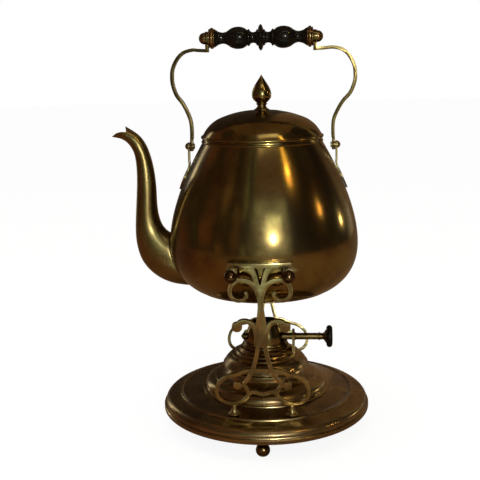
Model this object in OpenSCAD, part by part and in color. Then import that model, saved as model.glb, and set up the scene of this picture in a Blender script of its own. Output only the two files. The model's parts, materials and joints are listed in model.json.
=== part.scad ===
// Spirit kettle on its stand. A round spun base carries two cast scroll arms, one in front and one
// behind, and a spirit lamp between them. The kettle hangs between the arms on ball-headed pins and
// tips about the two pins on its spout side. Millimetres, +Z up, spout towards -X.
// The origin lies on the table under the middle of the base.

/* [Base] */
// Radius of the spun base
base_r = 92; // [85:1:110]
// Height of the base's underside above the table
base_clear = 15; // [13:0.5:22]
// Height of the straight outer edge of the base
edge_h = 4; // [3:0.5:7]
// Rise from the outer edge to the flat of the base
base_rise = 10.9; // [9:0.1:16]
// Further rise of the flat towards the lamp
flat_rise = 2.1; // [1:0.1:4]
// Width of the rolled border, from the edge to the raised bead
border_w = 16; // [13:0.5:20]
// Thickness of the spun brass sheet
sheet_t = 1.2; // [0.8:0.1:1.6]
// Diameter of the ball feet
ball_d = 11.9; // [10:0.1:13]
// Distance of the ball feet from the middle
foot_circle_r = 80; // [70:1:83]

/* [Lamp] */
// Radius of the moulded seat where it meets the base
seat_r = 55; // [50:1:57]
// Height of the moulded seat
seat_h = 18; // [15:0.5:24]
// Radius of the spirit font at its lip
font_r = 38; // [35:0.5:44]
// Height of the font from its lip to its collar
font_h = 15; // [13:0.5:22]
// Radius of the burner collar
collar_r = 20.6; // [19.6:0.2:24]
// Height of the burner collar
collar_h = 5; // [4:0.5:8]
// Radius of the burner cone at its foot
cone_r = 17.5; // [16.5:0.1:18]
// Radius of the burner cone at its mouth
cone_top_r = 13.3; // [12.6:0.1:15]
// Height of the burner cone
cone_h = 17; // [15:0.5:24]
// Width of the flat wick
wick_w = 18; // [12:0.5:19]
// Thickness of the flat wick
wick_t = 3; // [2:0.1:3.4]
// Diameter of the winder rod
rod_d = 6; // [4:0.2:6.4]
// Distance from the lamp's axis to the face of the winder knob
knob_x = 60.5; // [56:0.5:75]
// Diameter of the winder knob
knob_d = 19.6; // [15:0.2:24]
// Thickness of the winder knob
knob_t = 6.4; // [4:0.2:8]

/* [Arms] */
// Distance from the base's bead to the middle of the arms' studs
arm_inset = 6.2; // [6:0.1:9]
// Height of the studs under the arms
stud_h = 9.1; // [7:0.1:13]
// Half the distance between the two studs of an arm
stud_x = 24; // [22:0.5:26]
// Thickness of the cast arms
arm_t = 3; // [2.4:0.1:3.4]
// Width of the scrollwork strands
strand_w = 2.8; // [2.2:0.1:3.4]
// Half the distance between the two pins of an arm
pin_x = 22.5; // [21:0.5:25]
// Diameter of the kettle pins
pin_d = 4; // [3:0.1:5]
// Diameter of the balls on the kettle pins
pin_ball_d = 10.6; // [8:0.2:12]

/* [Kettle] */
// Air gap between the burner and the kettle
flame_gap = 33; // [26:1:40]
// Largest radius of the kettle
kettle_r = 81.7; // [76:0.5:90]
// Height of the kettle's body from its bottom to its neck
body_h = 127.3; // [118:1:140]
// Radius of the kettle's bottom plate
bottom_r = 58; // [50:1:60]
// Radius of the kettle's neck
neck_r = 51.3; // [46:0.5:53]
// Wall thickness of the kettle
wall = 1.2; // [0.9:0.1:1.6]
// Height of the dome of the lid
dome_h = 20.8; // [14:0.5:26]
// Height of the finial
finial_h = 29.5; // [22:0.5:34]
// Width of the brackets that hang the kettle on its pins
bracket_w = 51; // [50:1:60]
// Height of the brackets' rim
bracket_h = 3.6; // [3:0.1:6]

/* [Bail] */
// Height of the grip above the bail's pivots
bail_h = 90; // [86:1:110]
// Widest reach of the bail's straps from the middle
bail_r = 77; // [74:0.5:86]
// Further reach of the strap on the knob's side, which is bent wider
bail_bend = 3; // [0:0.5:4]
// Thickness of the bail's straps
strap_t = 2.8; // [2.2:0.1:3.2]
// Width of the bail's straps
strap_w = 6; // [5:0.2:8]
// Length of the turned grip
grip_l = 77; // [70:1:84]
// Radius of the grip at its two bulbs
grip_r = 9.3; // [8:0.1:10]

/* [Hidden] */
$fn = 72;
brass = [0.62, 0.50, 0.22];
old_brass = [0.45, 0.34, 0.15];
black = [0.06, 0.05, 0.05];
cotton = [0.85, 0.82, 0.72];
// Radial clearance of turning and sliding fits
fit = 0.05;
// Clearance between loose neighbours
gap = 0.3;
// Gap of soldered and pressed seams
seam = 0.02;

// Points of a cubic curve from a to d, drawn towards b and c
function cubic(a, b, c, d, n = 10) = [for (i = [0 : n]) let (t = i / n)
    a * pow(1 - t, 3) + 3 * b * t * pow(1 - t, 2) + 3 * c * t * t * (1 - t) + d * pow(t, 3)];
// Point between q and r of a smooth curve through p, q, r and s
function through(p, q, r, s, t) =
    q + 0.5 * t * ((r - p) + t * ((2 * p - 5 * q + 4 * r - s) + t * (3 * (q - r) + s - p)));
// Smooth curve through all points of a list, with n steps between two of them
function smooth(p, n = 5) = let (m = len(p) - 1) [for (i = [0 : n * m])
    let (k = min(floor(i / n), m - 1)) through(k > 0 ? p[k - 1] : 2 * p[0] - p[1], p[k], p[k + 1],
        k + 2 <= m ? p[k + 2] : 2 * p[m] - p[m - 1], i / n - k)];
function unit(v) = v / max(norm(v), 0.000001);
// Direction of a line at its point i
function along(p, i) = unit(p[min(i + 1, len(p) - 1)] - p[max(i - 1, 0)]);
// The same line moved sideways, to its left, by d
function beside(p, d) = [for (i = [0 : len(p) - 1]) p[i] + d * [-along(p, i)[1], along(p, i)[0]]];
function backwards(p) = [for (i = [len(p) - 1 : -1 : 0]) p[i]];
// Closed outline of a sheet of thickness t that lies to the left of a line
function sheet(p, t) = concat(p, backwards(beside(p, t)));
// Closed outline of a strand along a line, from width a to width b
function strand(p, a, b) = let (m = len(p) - 1) concat(
    [for (i = [0 : m]) p[i] + (a + (b - a) * i / m) / 2 * [-along(p, i)[1], along(p, i)[0]]],
    [for (i = [m : -1 : 0]) p[i] - (a + (b - a) * i / m) / 2 * [-along(p, i)[1], along(p, i)[0]]]);

module spun(p) { rotate_extrude() polygon(p); }
module both_sides() { children(); mirror([1, 0, 0]) children(); }
module front_and_back() { children(); mirror([0, 1, 0]) children(); }
module along_x() { rotate([0, 90, 0]) children(); }
module along_y() { rotate([-90, 0, 0]) children(); }

// Base
edge_top = base_clear + edge_h;
flat_z = edge_top + base_rise;
bead_r = base_r - border_w;
seat_z = flat_z + flat_rise;
arm_foot_r = bead_r - arm_inset;
arm_foot_y = sqrt(pow(arm_foot_r, 2) - pow(stud_x, 2));
base_line = concat(
    [[base_r, base_clear], [base_r, edge_top - 0.6], [base_r - 0.6, edge_top],
     [base_r - 1.7, edge_top + 0.2], [base_r - 2, edge_top + 0.9]],
    cubic([base_r - 1.6, edge_top + 1.3], [base_r - 1.2, edge_top + 4.6], [base_r - 4.2, edge_top + 7],
        [base_r - 8, flat_z - 3.1], 9),
    cubic([base_r - 9.6, flat_z - 2.6], [base_r - 12, flat_z - 2.1], [bead_r + 2.6, flat_z - 1.6],
        [bead_r + 1.2, flat_z - 0.9], 5),
    [[bead_r + 0.8, flat_z], [bead_r, flat_z + 0.3], [bead_r - 0.9, flat_z]],
    cubic([bead_r - 1.6, flat_z - 0.2], [bead_r - 8, flat_z + 0.3], [seat_r + 6, seat_z - 0.3],
        [seat_r - 3, seat_z], 6)
);
function flat_at(r) = lookup(r, [for (i = [len(base_line) - 1 : -1 : 0]) base_line[i]]);

module base_plate() {
    color(old_brass) difference() {
        spun(sheet(base_line, sheet_t));
        front_and_back() both_sides() translate([stud_x, arm_foot_y, 0])
            cylinder(d = screw_d + 2 * gap, h = seat_z * 2);
    }
}

module ball_feet() {
    stem_top = flat_at(foot_circle_r + ball_d * 0.4) - sheet_t * 1.5;
    flat_cut = 0.4;
    color(brass) for (a = [-90, 30, 150]) rotate([0, 0, a]) translate([foot_circle_r, 0, 0]) difference() {
        union() {
            translate([0, 0, ball_d / 2 - flat_cut]) sphere(d = ball_d);
            translate([0, 0, ball_d * 0.7]) cylinder(d = ball_d * 0.5, h = stem_top - ball_d * 0.7);
            translate([0, 0, stem_top - 2]) cylinder(d = ball_d * 0.8, h = 2);
        }
        translate([0, 0, -ball_d]) cylinder(d = ball_d * 2, h = ball_d);
    }
}

// Lamp
seat_top = seat_z + seat_h;
throat_r = font_r - 5;
lip_z = seat_top + 4;
collar_z = lip_z + font_h;
cone_z = collar_z + collar_h;
cone_top = cone_z + cone_h;
seat_line = concat(
    [[seat_r + 1.8, seat_z + seam], [seat_r + 1.8, seat_z + 0.9], [seat_r, seat_z + 1.2]],
    cubic([seat_r - 0.8, seat_z + 1.4], [seat_r - 0.4, seat_z + 5.5], [seat_r - 4, seat_z + seat_h * 0.5],
        [seat_r - 9, seat_z + seat_h * 0.53], 7),
    [[seat_r - 9.2, seat_z + seat_h * 0.58], [seat_r - 10.4, seat_z + seat_h * 0.6]],
    cubic([seat_r - 10.8, seat_z + seat_h * 0.6], [seat_r - 15, seat_z + seat_h * 0.62],
        [throat_r + 2.5, seat_top - 4.5], [throat_r + 0.5, seat_top], 8)
);
font_line = concat(
    [[font_r - 1.4, lip_z - 1.6], [font_r, lip_z - 0.9], [font_r, lip_z + 0.2]],
    cubic([font_r - 0.6, lip_z + 0.9], [font_r - 2.2, lip_z + 3.4], [font_r - 4.4, lip_z + font_h * 0.44],
        [font_r - 7, lip_z + font_h * 0.5], 6),
    [[font_r - 7.6, lip_z + font_h * 0.6]],
    cubic([font_r - 9.4, lip_z + font_h * 0.62], [font_r - 10.6, lip_z + font_h * 0.64],
        [font_r - 11.6, lip_z + font_h * 0.68], [font_r - 12, lip_z + font_h * 0.76], 4),
    [[font_r - 13.4, lip_z + font_h * 0.82], [font_r - 14.8, lip_z + font_h * 0.94],
     [collar_r + 1.4, collar_z], [collar_r - 2, collar_z]]
);
bowl_line = concat(
    [[6, seat_z + 3]],
    cubic([throat_r - 9, seat_z + 3], [throat_r - 3, seat_z + 3], [throat_r - 1, seat_z + 6],
        [throat_r - 1, seat_z + 10], 6),
    [[throat_r - 1, seat_top + 0.8]],
    cubic([throat_r - 0.4, seat_top + 1], [throat_r + 2, seat_top + 1.2], [font_r - 3.6, lip_z - 3],
        [font_r - 2.4, lip_z - 1.8], 5)
);

module lamp_seat() { color(old_brass) spun(sheet(seat_line, sheet_t)); }

module font_bowl() {
    inner = beside(bowl_line, sheet_t);
    color(old_brass) spun(concat([[0, seat_z + 3]], bowl_line, [[font_r - 2.4, lip_z - 1.8 + seam]],
        backwards(inner), [[0, seat_z + 3 + sheet_t]]));
}

module font_cap() { color(brass) spun(sheet(font_line, sheet_t)); }

module burner_collar() {
    bead = collar_h / 4;
    color(brass) spun(concat(
        [[cone_r - 2.4, collar_z + seam], [collar_r - 0.6, collar_z + seam]],
        [for (i = [0 : 12]) let (a = -70 + 140 * i / 12)
            [collar_r - 0.6 + 0.6 * cos(a), collar_z + bead + 0.2 + bead * 0.9 * sin(a)]],
        cubic([collar_r - 0.8, collar_z + 2.6], [collar_r - 1.4, collar_z + 3], [cone_r + 1.6, cone_z - 1.6],
            [cone_r + 1, cone_z - seam], 5),
        [[cone_r - 2.4, cone_z - seam]]
    ));
}

boss_r = rod_d / 2 + 0.5;
boss_flange = 0.7;
winder_z = cone_z + boss_r + boss_flange + 0.2;
wheel_r = 2.4;
winder_y = -(wick_t / 2 + 0.1 + wheel_r);
thin_rod_r = 1.3;
cone_wall = 0.9;
cone_at = cone_r - 0.4;

module winder_bores() {
    translate([0, winder_y, winder_z]) along_x() cylinder(r = rod_d / 2 + fit, h = 2 * cone_r);
    translate([-2 * cone_r, winder_y, winder_z]) along_x() cylinder(r = thin_rod_r + fit, h = 2 * cone_r);
}

module burner_cone() {
    line = concat([[cone_r, cone_z], [cone_r, cone_z + 1]],
        cubic([cone_r - 0.1, cone_z + 1.6], [cone_r - 0.2, cone_z + cone_h * 0.5],
            [cone_top_r + 1.6, cone_top - cone_h * 0.35], [cone_top_r, cone_top], 10));
    color(brass) difference() {
        spun(sheet(line, cone_wall));
        translate([0, winder_y, winder_z]) along_x() cylinder(r = boss_r + seam, h = 2 * cone_r);
        translate([-2 * cone_r, winder_y, winder_z]) along_x()
            cylinder(r = boss_r - 0.8 + seam, h = 2 * cone_r);
    }
}

module winder_bosses() {
    color(brass) difference() {
        translate([0, winder_y, winder_z]) along_x() {
            translate([0, 0, cone_at - 2.6]) cylinder(r = boss_r, h = 5.4);
            translate([0, 0, cone_at + 0.6]) cylinder(r = boss_r + boss_flange, h = 1.4);
            translate([0, 0, -cone_at - 3]) cylinder(r = boss_r - 0.8, h = 5.4);
            translate([0, 0, -cone_at - 2]) cylinder(r = boss_r, h = 1.2);
        }
        winder_bores();
    }
}

module wick_tube() {
    slack = 0.25;
    tube_wall = 0.8;
    tube_low = seat_z + 12;
    tube_h = cone_top - 3 - tube_low;
    color(old_brass) difference() {
        union() {
            translate([-wick_w / 2 - slack - tube_wall, -wick_t / 2 - slack - tube_wall, tube_low])
                cube([wick_w + 2 * (slack + tube_wall), wick_t + 2 * (slack + tube_wall), tube_h]);
            translate([0, 0, collar_z + 1]) cylinder(r = cone_r - 2.4 - seam, h = 1.2);
        }
        translate([-wick_w / 2 - slack, -wick_t / 2 - slack, tube_low - 1])
            cube([wick_w + 2 * slack, wick_t + 2 * slack, tube_h + 2]);
        translate([-wick_w / 2 + 1, winder_y - wheel_r - gap, winder_z - wheel_r - 1])
            cube([wick_w - 2, wheel_r * 2 + gap * 2 + 0.3, wheel_r * 2 + 2]);
        translate([-wick_w, winder_y - thin_rod_r - gap, winder_z - thin_rod_r - gap])
            cube([wick_w * 2, 2 * (thin_rod_r + gap), 2 * (thin_rod_r + gap)]);
    }
}

module wick() {
    wick_low = seat_z + 8;
    color(cotton) translate([-wick_w / 2, -wick_t / 2, wick_low])
        cube([wick_w, wick_t, cone_top - 1 - wick_low]);
}

post_x = cone_at + 8.2;
post_t = 2.4;

module shaft_post() {
    low = lip_z + font_h / 2;
    half = rod_d / 2 + 1.6;
    tip = winder_z + rod_d / 2 + 4;
    color(brass) difference() {
        translate([post_x - post_t / 2, winder_y, 0]) rotate([90, 0, 90]) linear_extrude(post_t)
            polygon([[-half, low], [half, low], [half, winder_z + 2], [0, tip], [-half, winder_z + 2]]);
        translate([0, 0, fit]) spun(concat(font_line, [[0, collar_z], [0, lip_z - 1.6]]));
        winder_bores();
    }
}

rod_end = knob_x - knob_t;
module winder_rod() {
    color(brass) translate([0, winder_y, winder_z]) along_x() {
        translate([0, 0, -cone_at - 4]) cylinder(r = thin_rod_r, h = cone_at * 2 + 2);
        translate([0, 0, cone_at - 2.2]) cylinder(d = rod_d, h = rod_end - 3 - (cone_at - 2.2));
        translate([0, 0, rod_end - 6.6]) cylinder(d = rod_d + 1.2, h = 1.4);
        translate([0, 0, post_x + post_t / 2 + gap]) cylinder(d = rod_d + 1.2, h = 1);
    }
}

module spur_wheels() {
    teeth = 10;
    wheel = [for (i = [0 : 2 * teeth - 1]) (i % 2 == 0 ? wheel_r : wheel_r - 0.5)
        * [cos(i * 180 / teeth), sin(i * 180 / teeth)]];
    color(old_brass) for (x = [-5, 3.4]) translate([x, winder_y, winder_z]) along_x() difference() {
        linear_extrude(1.6) polygon(wheel);
        translate([0, 0, -1]) cylinder(r = thin_rod_r + seam, h = 4);
    }
}

module winder_ferrule() {
    color(brass) translate([rod_end, winder_y, winder_z]) along_x() rotate_extrude() polygon(concat(
        [[0, -3 + seam], [rod_d / 2 - 0.2, -3 + seam]],
        cubic([rod_d / 2, -2.8], [rod_d / 2 + 0.3, -1.4], [rod_d / 2 + 1.6, -0.9],
            [rod_d / 2 + 2.4, -0.6], 5),
        [[rod_d / 2 + 2.4, -seam], [0, -seam]]
    ));
}

module winder_knob() {
    r = knob_d / 2;
    h = knob_t / 2;
    color(black) translate([rod_end, winder_y, winder_z]) along_x() rotate_extrude() polygon(concat(
        [[0, 0], [r * 0.62, 0], [r * 0.7, h * 0.3]],
        [for (i = [0 : 14]) let (a = -80 + 160 * i / 14)
            [r - h * 0.8 + h * 0.8 * cos(a), h + h * 0.86 * sin(a)]],
        [[r * 0.7, knob_t - h * 0.3], [0, knob_t - h * 0.1]]
    ));
}

// Kettle heights
kettle_z = cone_top + flame_gap;
body_z = kettle_z + 2.6;
belly_z = kettle_z + body_h * 0.314;
neck_z = kettle_z + body_h;
shoulder_r = bottom_r + 4;
bottom_line = cubic([shoulder_r, body_z],
    [shoulder_r + (kettle_r - shoulder_r) * 0.6, body_z + (belly_z - body_z) * 0.2],
    [kettle_r, body_z + (belly_z - body_z) * 0.52], [kettle_r, belly_z], 14);
upper_line = cubic([kettle_r, belly_z], [kettle_r, belly_z + (neck_z - belly_z) * 0.32],
    [neck_r + (kettle_r - neck_r) * 0.493, belly_z + (neck_z - belly_z) * 0.702], [neck_r, neck_z], 22);
body_line = concat(bottom_line, [for (i = [1 : len(upper_line) - 1]) upper_line[i]]);
body_by_height = [for (p = body_line) [p[1], p[0]]];
function body_at(z) = lookup(z, body_by_height);

// Brackets and pins that hang the kettle between the arms
bracket_z = belly_z - 2.4;
lug_in = kettle_r + 0.5;
lug_out = lug_in + 1.8;
eye_r = pin_d / 2 + 2.4;
pin_z = bracket_z - eye_r - gap - 0.6;
eye_in = lug_out + gap;
eye_out = eye_in + arm_t + 0.9;
arm_low_z = flat_at(arm_foot_r) + stud_h + strand_w / 2;
lean = atan((eye_in + arm_t * 0.75 - arm_foot_y) / (pin_z - arm_low_z));
arm_slope = (pin_z - arm_low_z) / cos(lean);

// Arm outline, drawn flat with its pin at the marked place, and fitted to the real pins
pin_mark = [22.5, 115.3];
function fitted(p) = [for (q = p) [q[0] * pin_x / pin_mark[0], q[1] * arm_slope / pin_mark[1]]];
foot_loop = [[0, 31], [8, 30.6], [13.5, 30.2], [20.5, 27], [28.7, 24.8], [35.4, 19.6], [38, 12.5],
    [36.8, 5.6], [31.6, 1.2], [24, 0], [16, 2.6], [12, 8], [13, 13.8], [17, 17.2]];
bar = [[12.4, 8.2], [8.4, 10.9], [4, 9.7], [0, 8.8]];
leg = [[2.4, 57], [3.4, 49], [5, 41], [7.7, 31], [11.4, 23.4], [16.4, 17]];
mid_scroll = [[3.4, 62], [5.2, 69], [8.6, 73.4], [13, 75], [17.4, 74], [19.8, 70.4]];
top_scroll = [[1.4, 98], [3.6, 104], [7.4, 108.2], [12.4, 110.2], [17.8, 110], [22.3, 106.8], [24.1, 101.4],
    [22.7, 95.9], [18.2, 93], [13.4, 93.8], [10.7, 97.2], [11.6, 100.4]];
prong = [[1.2, 101], [2.6, 107.4], [4.4, 114.6], [8.2, 123.5]];
waist = [[0, 51.6], [2.2, 55], [5.9, 53], [5.5, 62], [4.4, 70], [3.3, 78.4], [2.4, 86], [2.3, 92],
    [3.2, 98.4], [3.6, 104], [2, 107], [0, 106.4]];

module flat_arm() {
    w = strand_w;
    both_sides() {
        polygon(strand(smooth(fitted(foot_loop), 4), w * 1.04, w * 0.94));
        polygon(strand(smooth(fitted(bar), 3), w * 0.9, w * 1.25));
        polygon(strand(smooth(fitted(leg), 3), w * 1.2, w));
        polygon(strand(smooth(fitted(mid_scroll), 3), w * 1.5, w * 0.9));
        polygon(strand(smooth(fitted(top_scroll), 4), w * 1.5, w * 0.8));
        polygon(strand(smooth(fitted(prong), 3), w * 1.1, w * 1.5));
        polygon(fitted(waist));
        translate(fitted([[20.6, 16.8]])[0]) circle(r = w * 1.22, $fn = 24);
        translate(fitted([[19.4, 69.8]])[0]) circle(r = w * 1.5, $fn = 24);
        translate(fitted([[21.6, 109.6]])[0]) circle(r = w * 1.2, $fn = 24);
    }
}

module arm() {
    difference() {
        union() {
            translate([0, -arm_foot_y, arm_low_z]) rotate([90 + lean, 0, 0])
                translate([0, 0, -arm_t / 2]) linear_extrude(arm_t) flat_arm();
            both_sides() translate([pin_x, -eye_out, pin_z]) along_y()
                cylinder(r = eye_r, h = eye_out - eye_in);
        }
        translate([-kettle_r, -2 * kettle_r, bracket_z - gap]) cube(2 * kettle_r);
        both_sides() translate([pin_x, -eye_out - 1, pin_z]) along_y()
            cylinder(d = pin_d + 2 * seam, h = eye_out);
        both_sides() translate([stud_x, -arm_foot_y, arm_low_z - strand_w * 2.5])
            cylinder(r = stud_neck_r * 3, h = strand_w * 2);
    }
}

module front_arm() { color(brass) arm(); }
module back_arm() { color(brass) rotate([0, 0, 180]) arm(); }

screw_d = 3;
stud_neck_r = 2.1;
stud_foot_r = 5;
module arm_studs() {
    low = flat_at(arm_foot_r - stud_foot_r) + seam;
    high = arm_low_z - strand_w / 2;
    color(brass) front_and_back() both_sides() translate([stud_x, arm_foot_y, 0]) difference() {
        rotate_extrude() polygon(concat([[0, low], [stud_foot_r, low], [stud_foot_r, low + 0.7]],
            cubic([stud_foot_r - 0.4, low + 1.1], [3.2, low + 1.4], [stud_neck_r, low + 3.6],
                [stud_neck_r, high - 1.6], 8),
            [[stud_neck_r + 0.5, high - 1], [stud_neck_r + 0.5, high], [0, high]]));
        translate([0, 0, low - 1]) cylinder(d = screw_d + 2 * seam, h = 5);
    }
}

module stud_screws() {
    low = flat_at(arm_foot_r - stud_foot_r) + seam;
    head_top = low - sheet_t - 1.3;
    color(old_brass) front_and_back() both_sides() translate([stud_x, arm_foot_y, 0]) {
        translate([0, 0, head_top - 2]) cylinder(d = screw_d * 2, h = 2);
        translate([0, 0, head_top - 0.5]) cylinder(d = screw_d, h = low + 3.5 - head_top);
    }
}

module kettle_pin() {
    neck = 2.2;
    translate([0, -lug_in + 0.3, 0]) rotate([90, 0, 0]) {
        cylinder(d = pin_d, h = eye_out + neck - lug_in + 1);
        translate([0, 0, eye_out - lug_in + 0.3 + seam]) cylinder(d = pin_d + 2.4, h = 1);
        translate([0, 0, eye_out + neck - lug_in + pin_ball_d / 2 - 0.5]) sphere(d = pin_ball_d);
    }
}

module pivot_pins() { color(old_brass) front_and_back() translate([-pin_x, 0, pin_z]) kettle_pin(); }
module rest_pins() { color(old_brass) front_and_back() translate([pin_x, 0, pin_z]) kettle_pin(); }

module bracket() {
    reach = eye_out + 1.5;
    rim = bracket_z - pin_z;
    swing = pow(eye_r + pin_d, 2) / (4 * pin_x) + fit;
    difference() {
        union() {
            intersection() {
                translate([0, 0, bracket_z]) cylinder(r = reach, h = bracket_h, $fn = 144);
                translate([-bracket_w / 2, -2 * reach, 0])
                    cube([bracket_w, 2 * reach - kettle_r / 2, 2 * belly_z]);
            }
            both_sides() translate([pin_x, -lug_in, pin_z]) rotate([90, 0, 0]) {
                cylinder(r = eye_r, h = lug_out - lug_in);
                linear_extrude(lug_out - lug_in) polygon([[-eye_r, 0], [eye_r, 0],
                    [bracket_w / 2 - pin_x, rim], [bracket_w / 2 - pin_x, rim + 1], [-eye_r, rim + 1]]);
            }
        }
        translate([0, 0, bracket_z - 1]) cylinder(r = kettle_r + seam, h = bracket_h + 2, $fn = 144);
        translate([-pin_x, -2 * reach, pin_z]) along_y() cylinder(d = pin_d + 2 * fit, h = 2 * reach);
        translate([pin_x, -2 * reach, pin_z]) along_y() cylinder(d = pin_d + 2 * fit, h = 2 * reach);
        translate([pin_x - pin_d / 2 - fit - swing, -2 * reach, pin_z - 2 * eye_r])
            cube([pin_d + 2 * fit + swing, 2 * reach, 2 * eye_r]);
    }
}

module front_bracket() { color(brass) bracket(); }
module back_bracket() { color(brass) mirror([0, 1, 0]) bracket(); }

// Spout: each ring runs from a point of the lower outline to one of the upper outline, and has half a width.
// The points are measured from the middle of the spout's seat on the body.
spout_half_w = 15;
spout_half_h = 24;
// Drop of the spout's seat below the widest part of the body
spout_drop = 15.5;
spout_base_z = belly_z - spout_drop;
base_x = -body_at(spout_base_z);
spout_sides = 28;
spout_wall = 1;
spout_seam = 0.28;
spout_rings = [
    [[2, -22.8], [-3.2, 24.5], 15.4], [[-9.1, -19.2], [-5, 25.7], 15.2],
    [[-19.1, -12.8], [-7.2, 27.8], 14.6], [[-26.9, -4.2], [-9.5, 31], 13.6],
    [[-31, 5], [-11, 34.6], 12.4], [[-33.4, 17], [-12.2, 39], 11.4],
    [[-33.4, 29.5], [-13.2, 45.5], 10.6], [[-32.3, 43.5], [-13.5, 53.5], 9.9],
    [[-30.9, 59.5], [-13.4, 63.5], 8.8], [[-29.9, 75.5], [-14.3, 76.5], 7.8],
    [[-30.3, 87.9], [-16.1, 87], 7.2], [[-31.8, 95.7], [-18.3, 95.1], 7],
    [[-35.5, 102], [-21.3, 102.9], 6.6], [[-40.4, 106.3], [-26.7, 110.8], 6.1]
];
// The beak's edge from the upper lip round to the lower lip: angle, then place along, across and up
beak = [[0, -38.6, 0, 117.8], [45, -37.4, 3.7, 114.4], [90, -37.4, 5.6, 110.8], [120, -41, 5.3, 112.2],
    [150, -46, 3.4, 111.7], [180, -50.5, 0, 108.6]];
function beak_at(a, k) = lookup(a, [for (b = beak) [b[0], b[k]]]);
function around(k) = 360 * k / spout_sides;
function wall_ring(inset) = [for (k = [0 : spout_sides - 1])
    let (y = (spout_half_w - inset) * sin(around(k)),
        z = spout_base_z + (spout_half_h - inset) * cos(around(k)))
    [-sqrt(pow(body_at(z) + spout_seam, 2) - y * y), y, z]];
function run_ring(q, inset) = let (low = q[0], high = q[1], half = norm(high - low) / 2,
    mid = (low + high) / 2,
    up = unit(high - low)) [for (k = [0 : spout_sides - 1])
    [base_x + mid[0] + up[0] * (half - inset) * cos(around(k)), (q[2] - inset) * sin(around(k)),
     spout_base_z + mid[1] + up[1] * (half - inset) * cos(around(k))]];
function beak_ring(inset) = [for (k = [0 : spout_sides - 1]) let (a = min(around(k), 360 - around(k)),
    y = a == 0 || a == 180 ? 0 : max(beak_at(a, 2) - inset, 0.4), side = around(k) > 180 ? -1 : 1)
    [base_x + beak_at(a, 1) + 0.2 * inset, side * y,
     spout_base_z + beak_at(a, 3) + (a < 90 ? -inset : 0.6 * inset)]];
function spout_skin(inset) = concat([wall_ring(inset)], [for (q = spout_rings) run_ring(q, inset)],
    [beak_ring(inset)]);

module spout() {
    outer = spout_skin(0);
    inner = spout_skin(spout_wall);
    m = len(outer);
    n = spout_sides;
    points = [for (r = outer) each r, for (r = inner) each r];
    faces = [
        for (i = [0 : m - 2]) for (k = [0 : n - 1]) let (a = i * n + k, b = i * n + (k + 1) % n,
            c = m * n + a, d = m * n + b) each
            [[a, b, b + n], [a, b + n, a + n], [c, d + n, d], [c, c + n, d + n]],
        for (k = [0 : n - 1]) let (b = (k + 1) % n, e = (m - 1) * n) each
            [[k, m * n + k, m * n + b], [k, m * n + b, b],
             [e + k, e + b, e + m * n + b], [e + k, e + m * n + b, e + m * n + k]]
    ];
    color(brass) polyhedron(points, faces, 6);
}

module kettle_body() {
    hole_d = 5;
    color(brass) difference() {
        spun(concat([[0, body_z]], body_line, backwards(beside(body_line, wall)), [[0, body_z + wall]]));
        for (a = [0 : 60 : 300]) translate([-kettle_r - 1, 8 * sin(a), spout_base_z + 9 * cos(a)])
            along_x() cylinder(d = hole_d, h = kettle_r / 2);
        translate([-kettle_r - 1, 0, spout_base_z]) along_x() cylinder(d = hole_d, h = kettle_r / 2);
    }
}

module kettle_bottom() {
    color(old_brass) spun([[0, kettle_z + 0.8], [bottom_r - 6, kettle_z + 0.8], [bottom_r - 5, kettle_z],
        [bottom_r - 0.6, kettle_z], [bottom_r, kettle_z + 0.6], [bottom_r, body_z - 0.5],
        [bottom_r + 0.8, body_z - seam], [0, body_z - seam]]);
}

neck_in = neck_r - wall - 0.6;
neck_top = neck_z + 3.2;
module neck_ring() {
    color(brass) spun(concat([[neck_in, neck_z + seam], [neck_r + 0.2, neck_z + seam]],
        [for (i = [0 : 10]) let (a = -60 + 120 * i / 10)
            [neck_r + 0.1 + 0.6 * cos(a), neck_z + 0.9 + 0.7 * sin(a)]],
        [[neck_r - 0.3, neck_z + 1.9], [neck_r - 0.3, neck_top], [neck_in, neck_top]]));
}

// Lid
lid_z = neck_top + 0.2;
dome_z = lid_z + 2.5;
dome_top = dome_z + dome_h;
dome_line = concat(
    [[neck_r + 0.4, lid_z]],
    [for (i = [0 : 8]) let (a = -70 + 140 * i / 8)
        [neck_r + 0.1 + 0.9 * cos(a), lid_z + 1.25 + 1.2 * sin(a)]],
    cubic([neck_r - 0.5, dome_z], [neck_r - 4, dome_z + dome_h * 0.33], [neck_r - 8, dome_z + dome_h * 0.5],
        [neck_r - 13, dome_z + dome_h * 0.64], 10),
    cubic([neck_r - 16, dome_z + dome_h * 0.715], [neck_r - 25, dome_z + dome_h * 0.9],
        [neck_r - 36, dome_top], [5, dome_top], 10)
);
stem_r = 2;
module lid_dome() {
    vent = [-23, -8];
    color(brass) difference() {
        spun(concat(dome_line, [[stem_r + fit, dome_top], [stem_r + fit, dome_top - wall]],
            backwards([for (i = [10 : len(dome_line) - 1]) beside(dome_line, wall)[i]]),
            [[neck_r - 1.8, lid_z]]));
        translate([vent[0], vent[1], dome_z]) cylinder(d = 2.2, h = dome_h * 2);
    }
}

module lid_flange() {
    flange_r = neck_in - gap;
    color(old_brass) spun([[flange_r - 1, lid_z - 9], [flange_r, lid_z - 9], [flange_r, lid_z - seam - 0.3],
        [neck_r - 1.9, lid_z - seam - 0.1], [neck_r - 1.9, lid_z - seam], [flange_r - 1, lid_z - seam]]);
}

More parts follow.
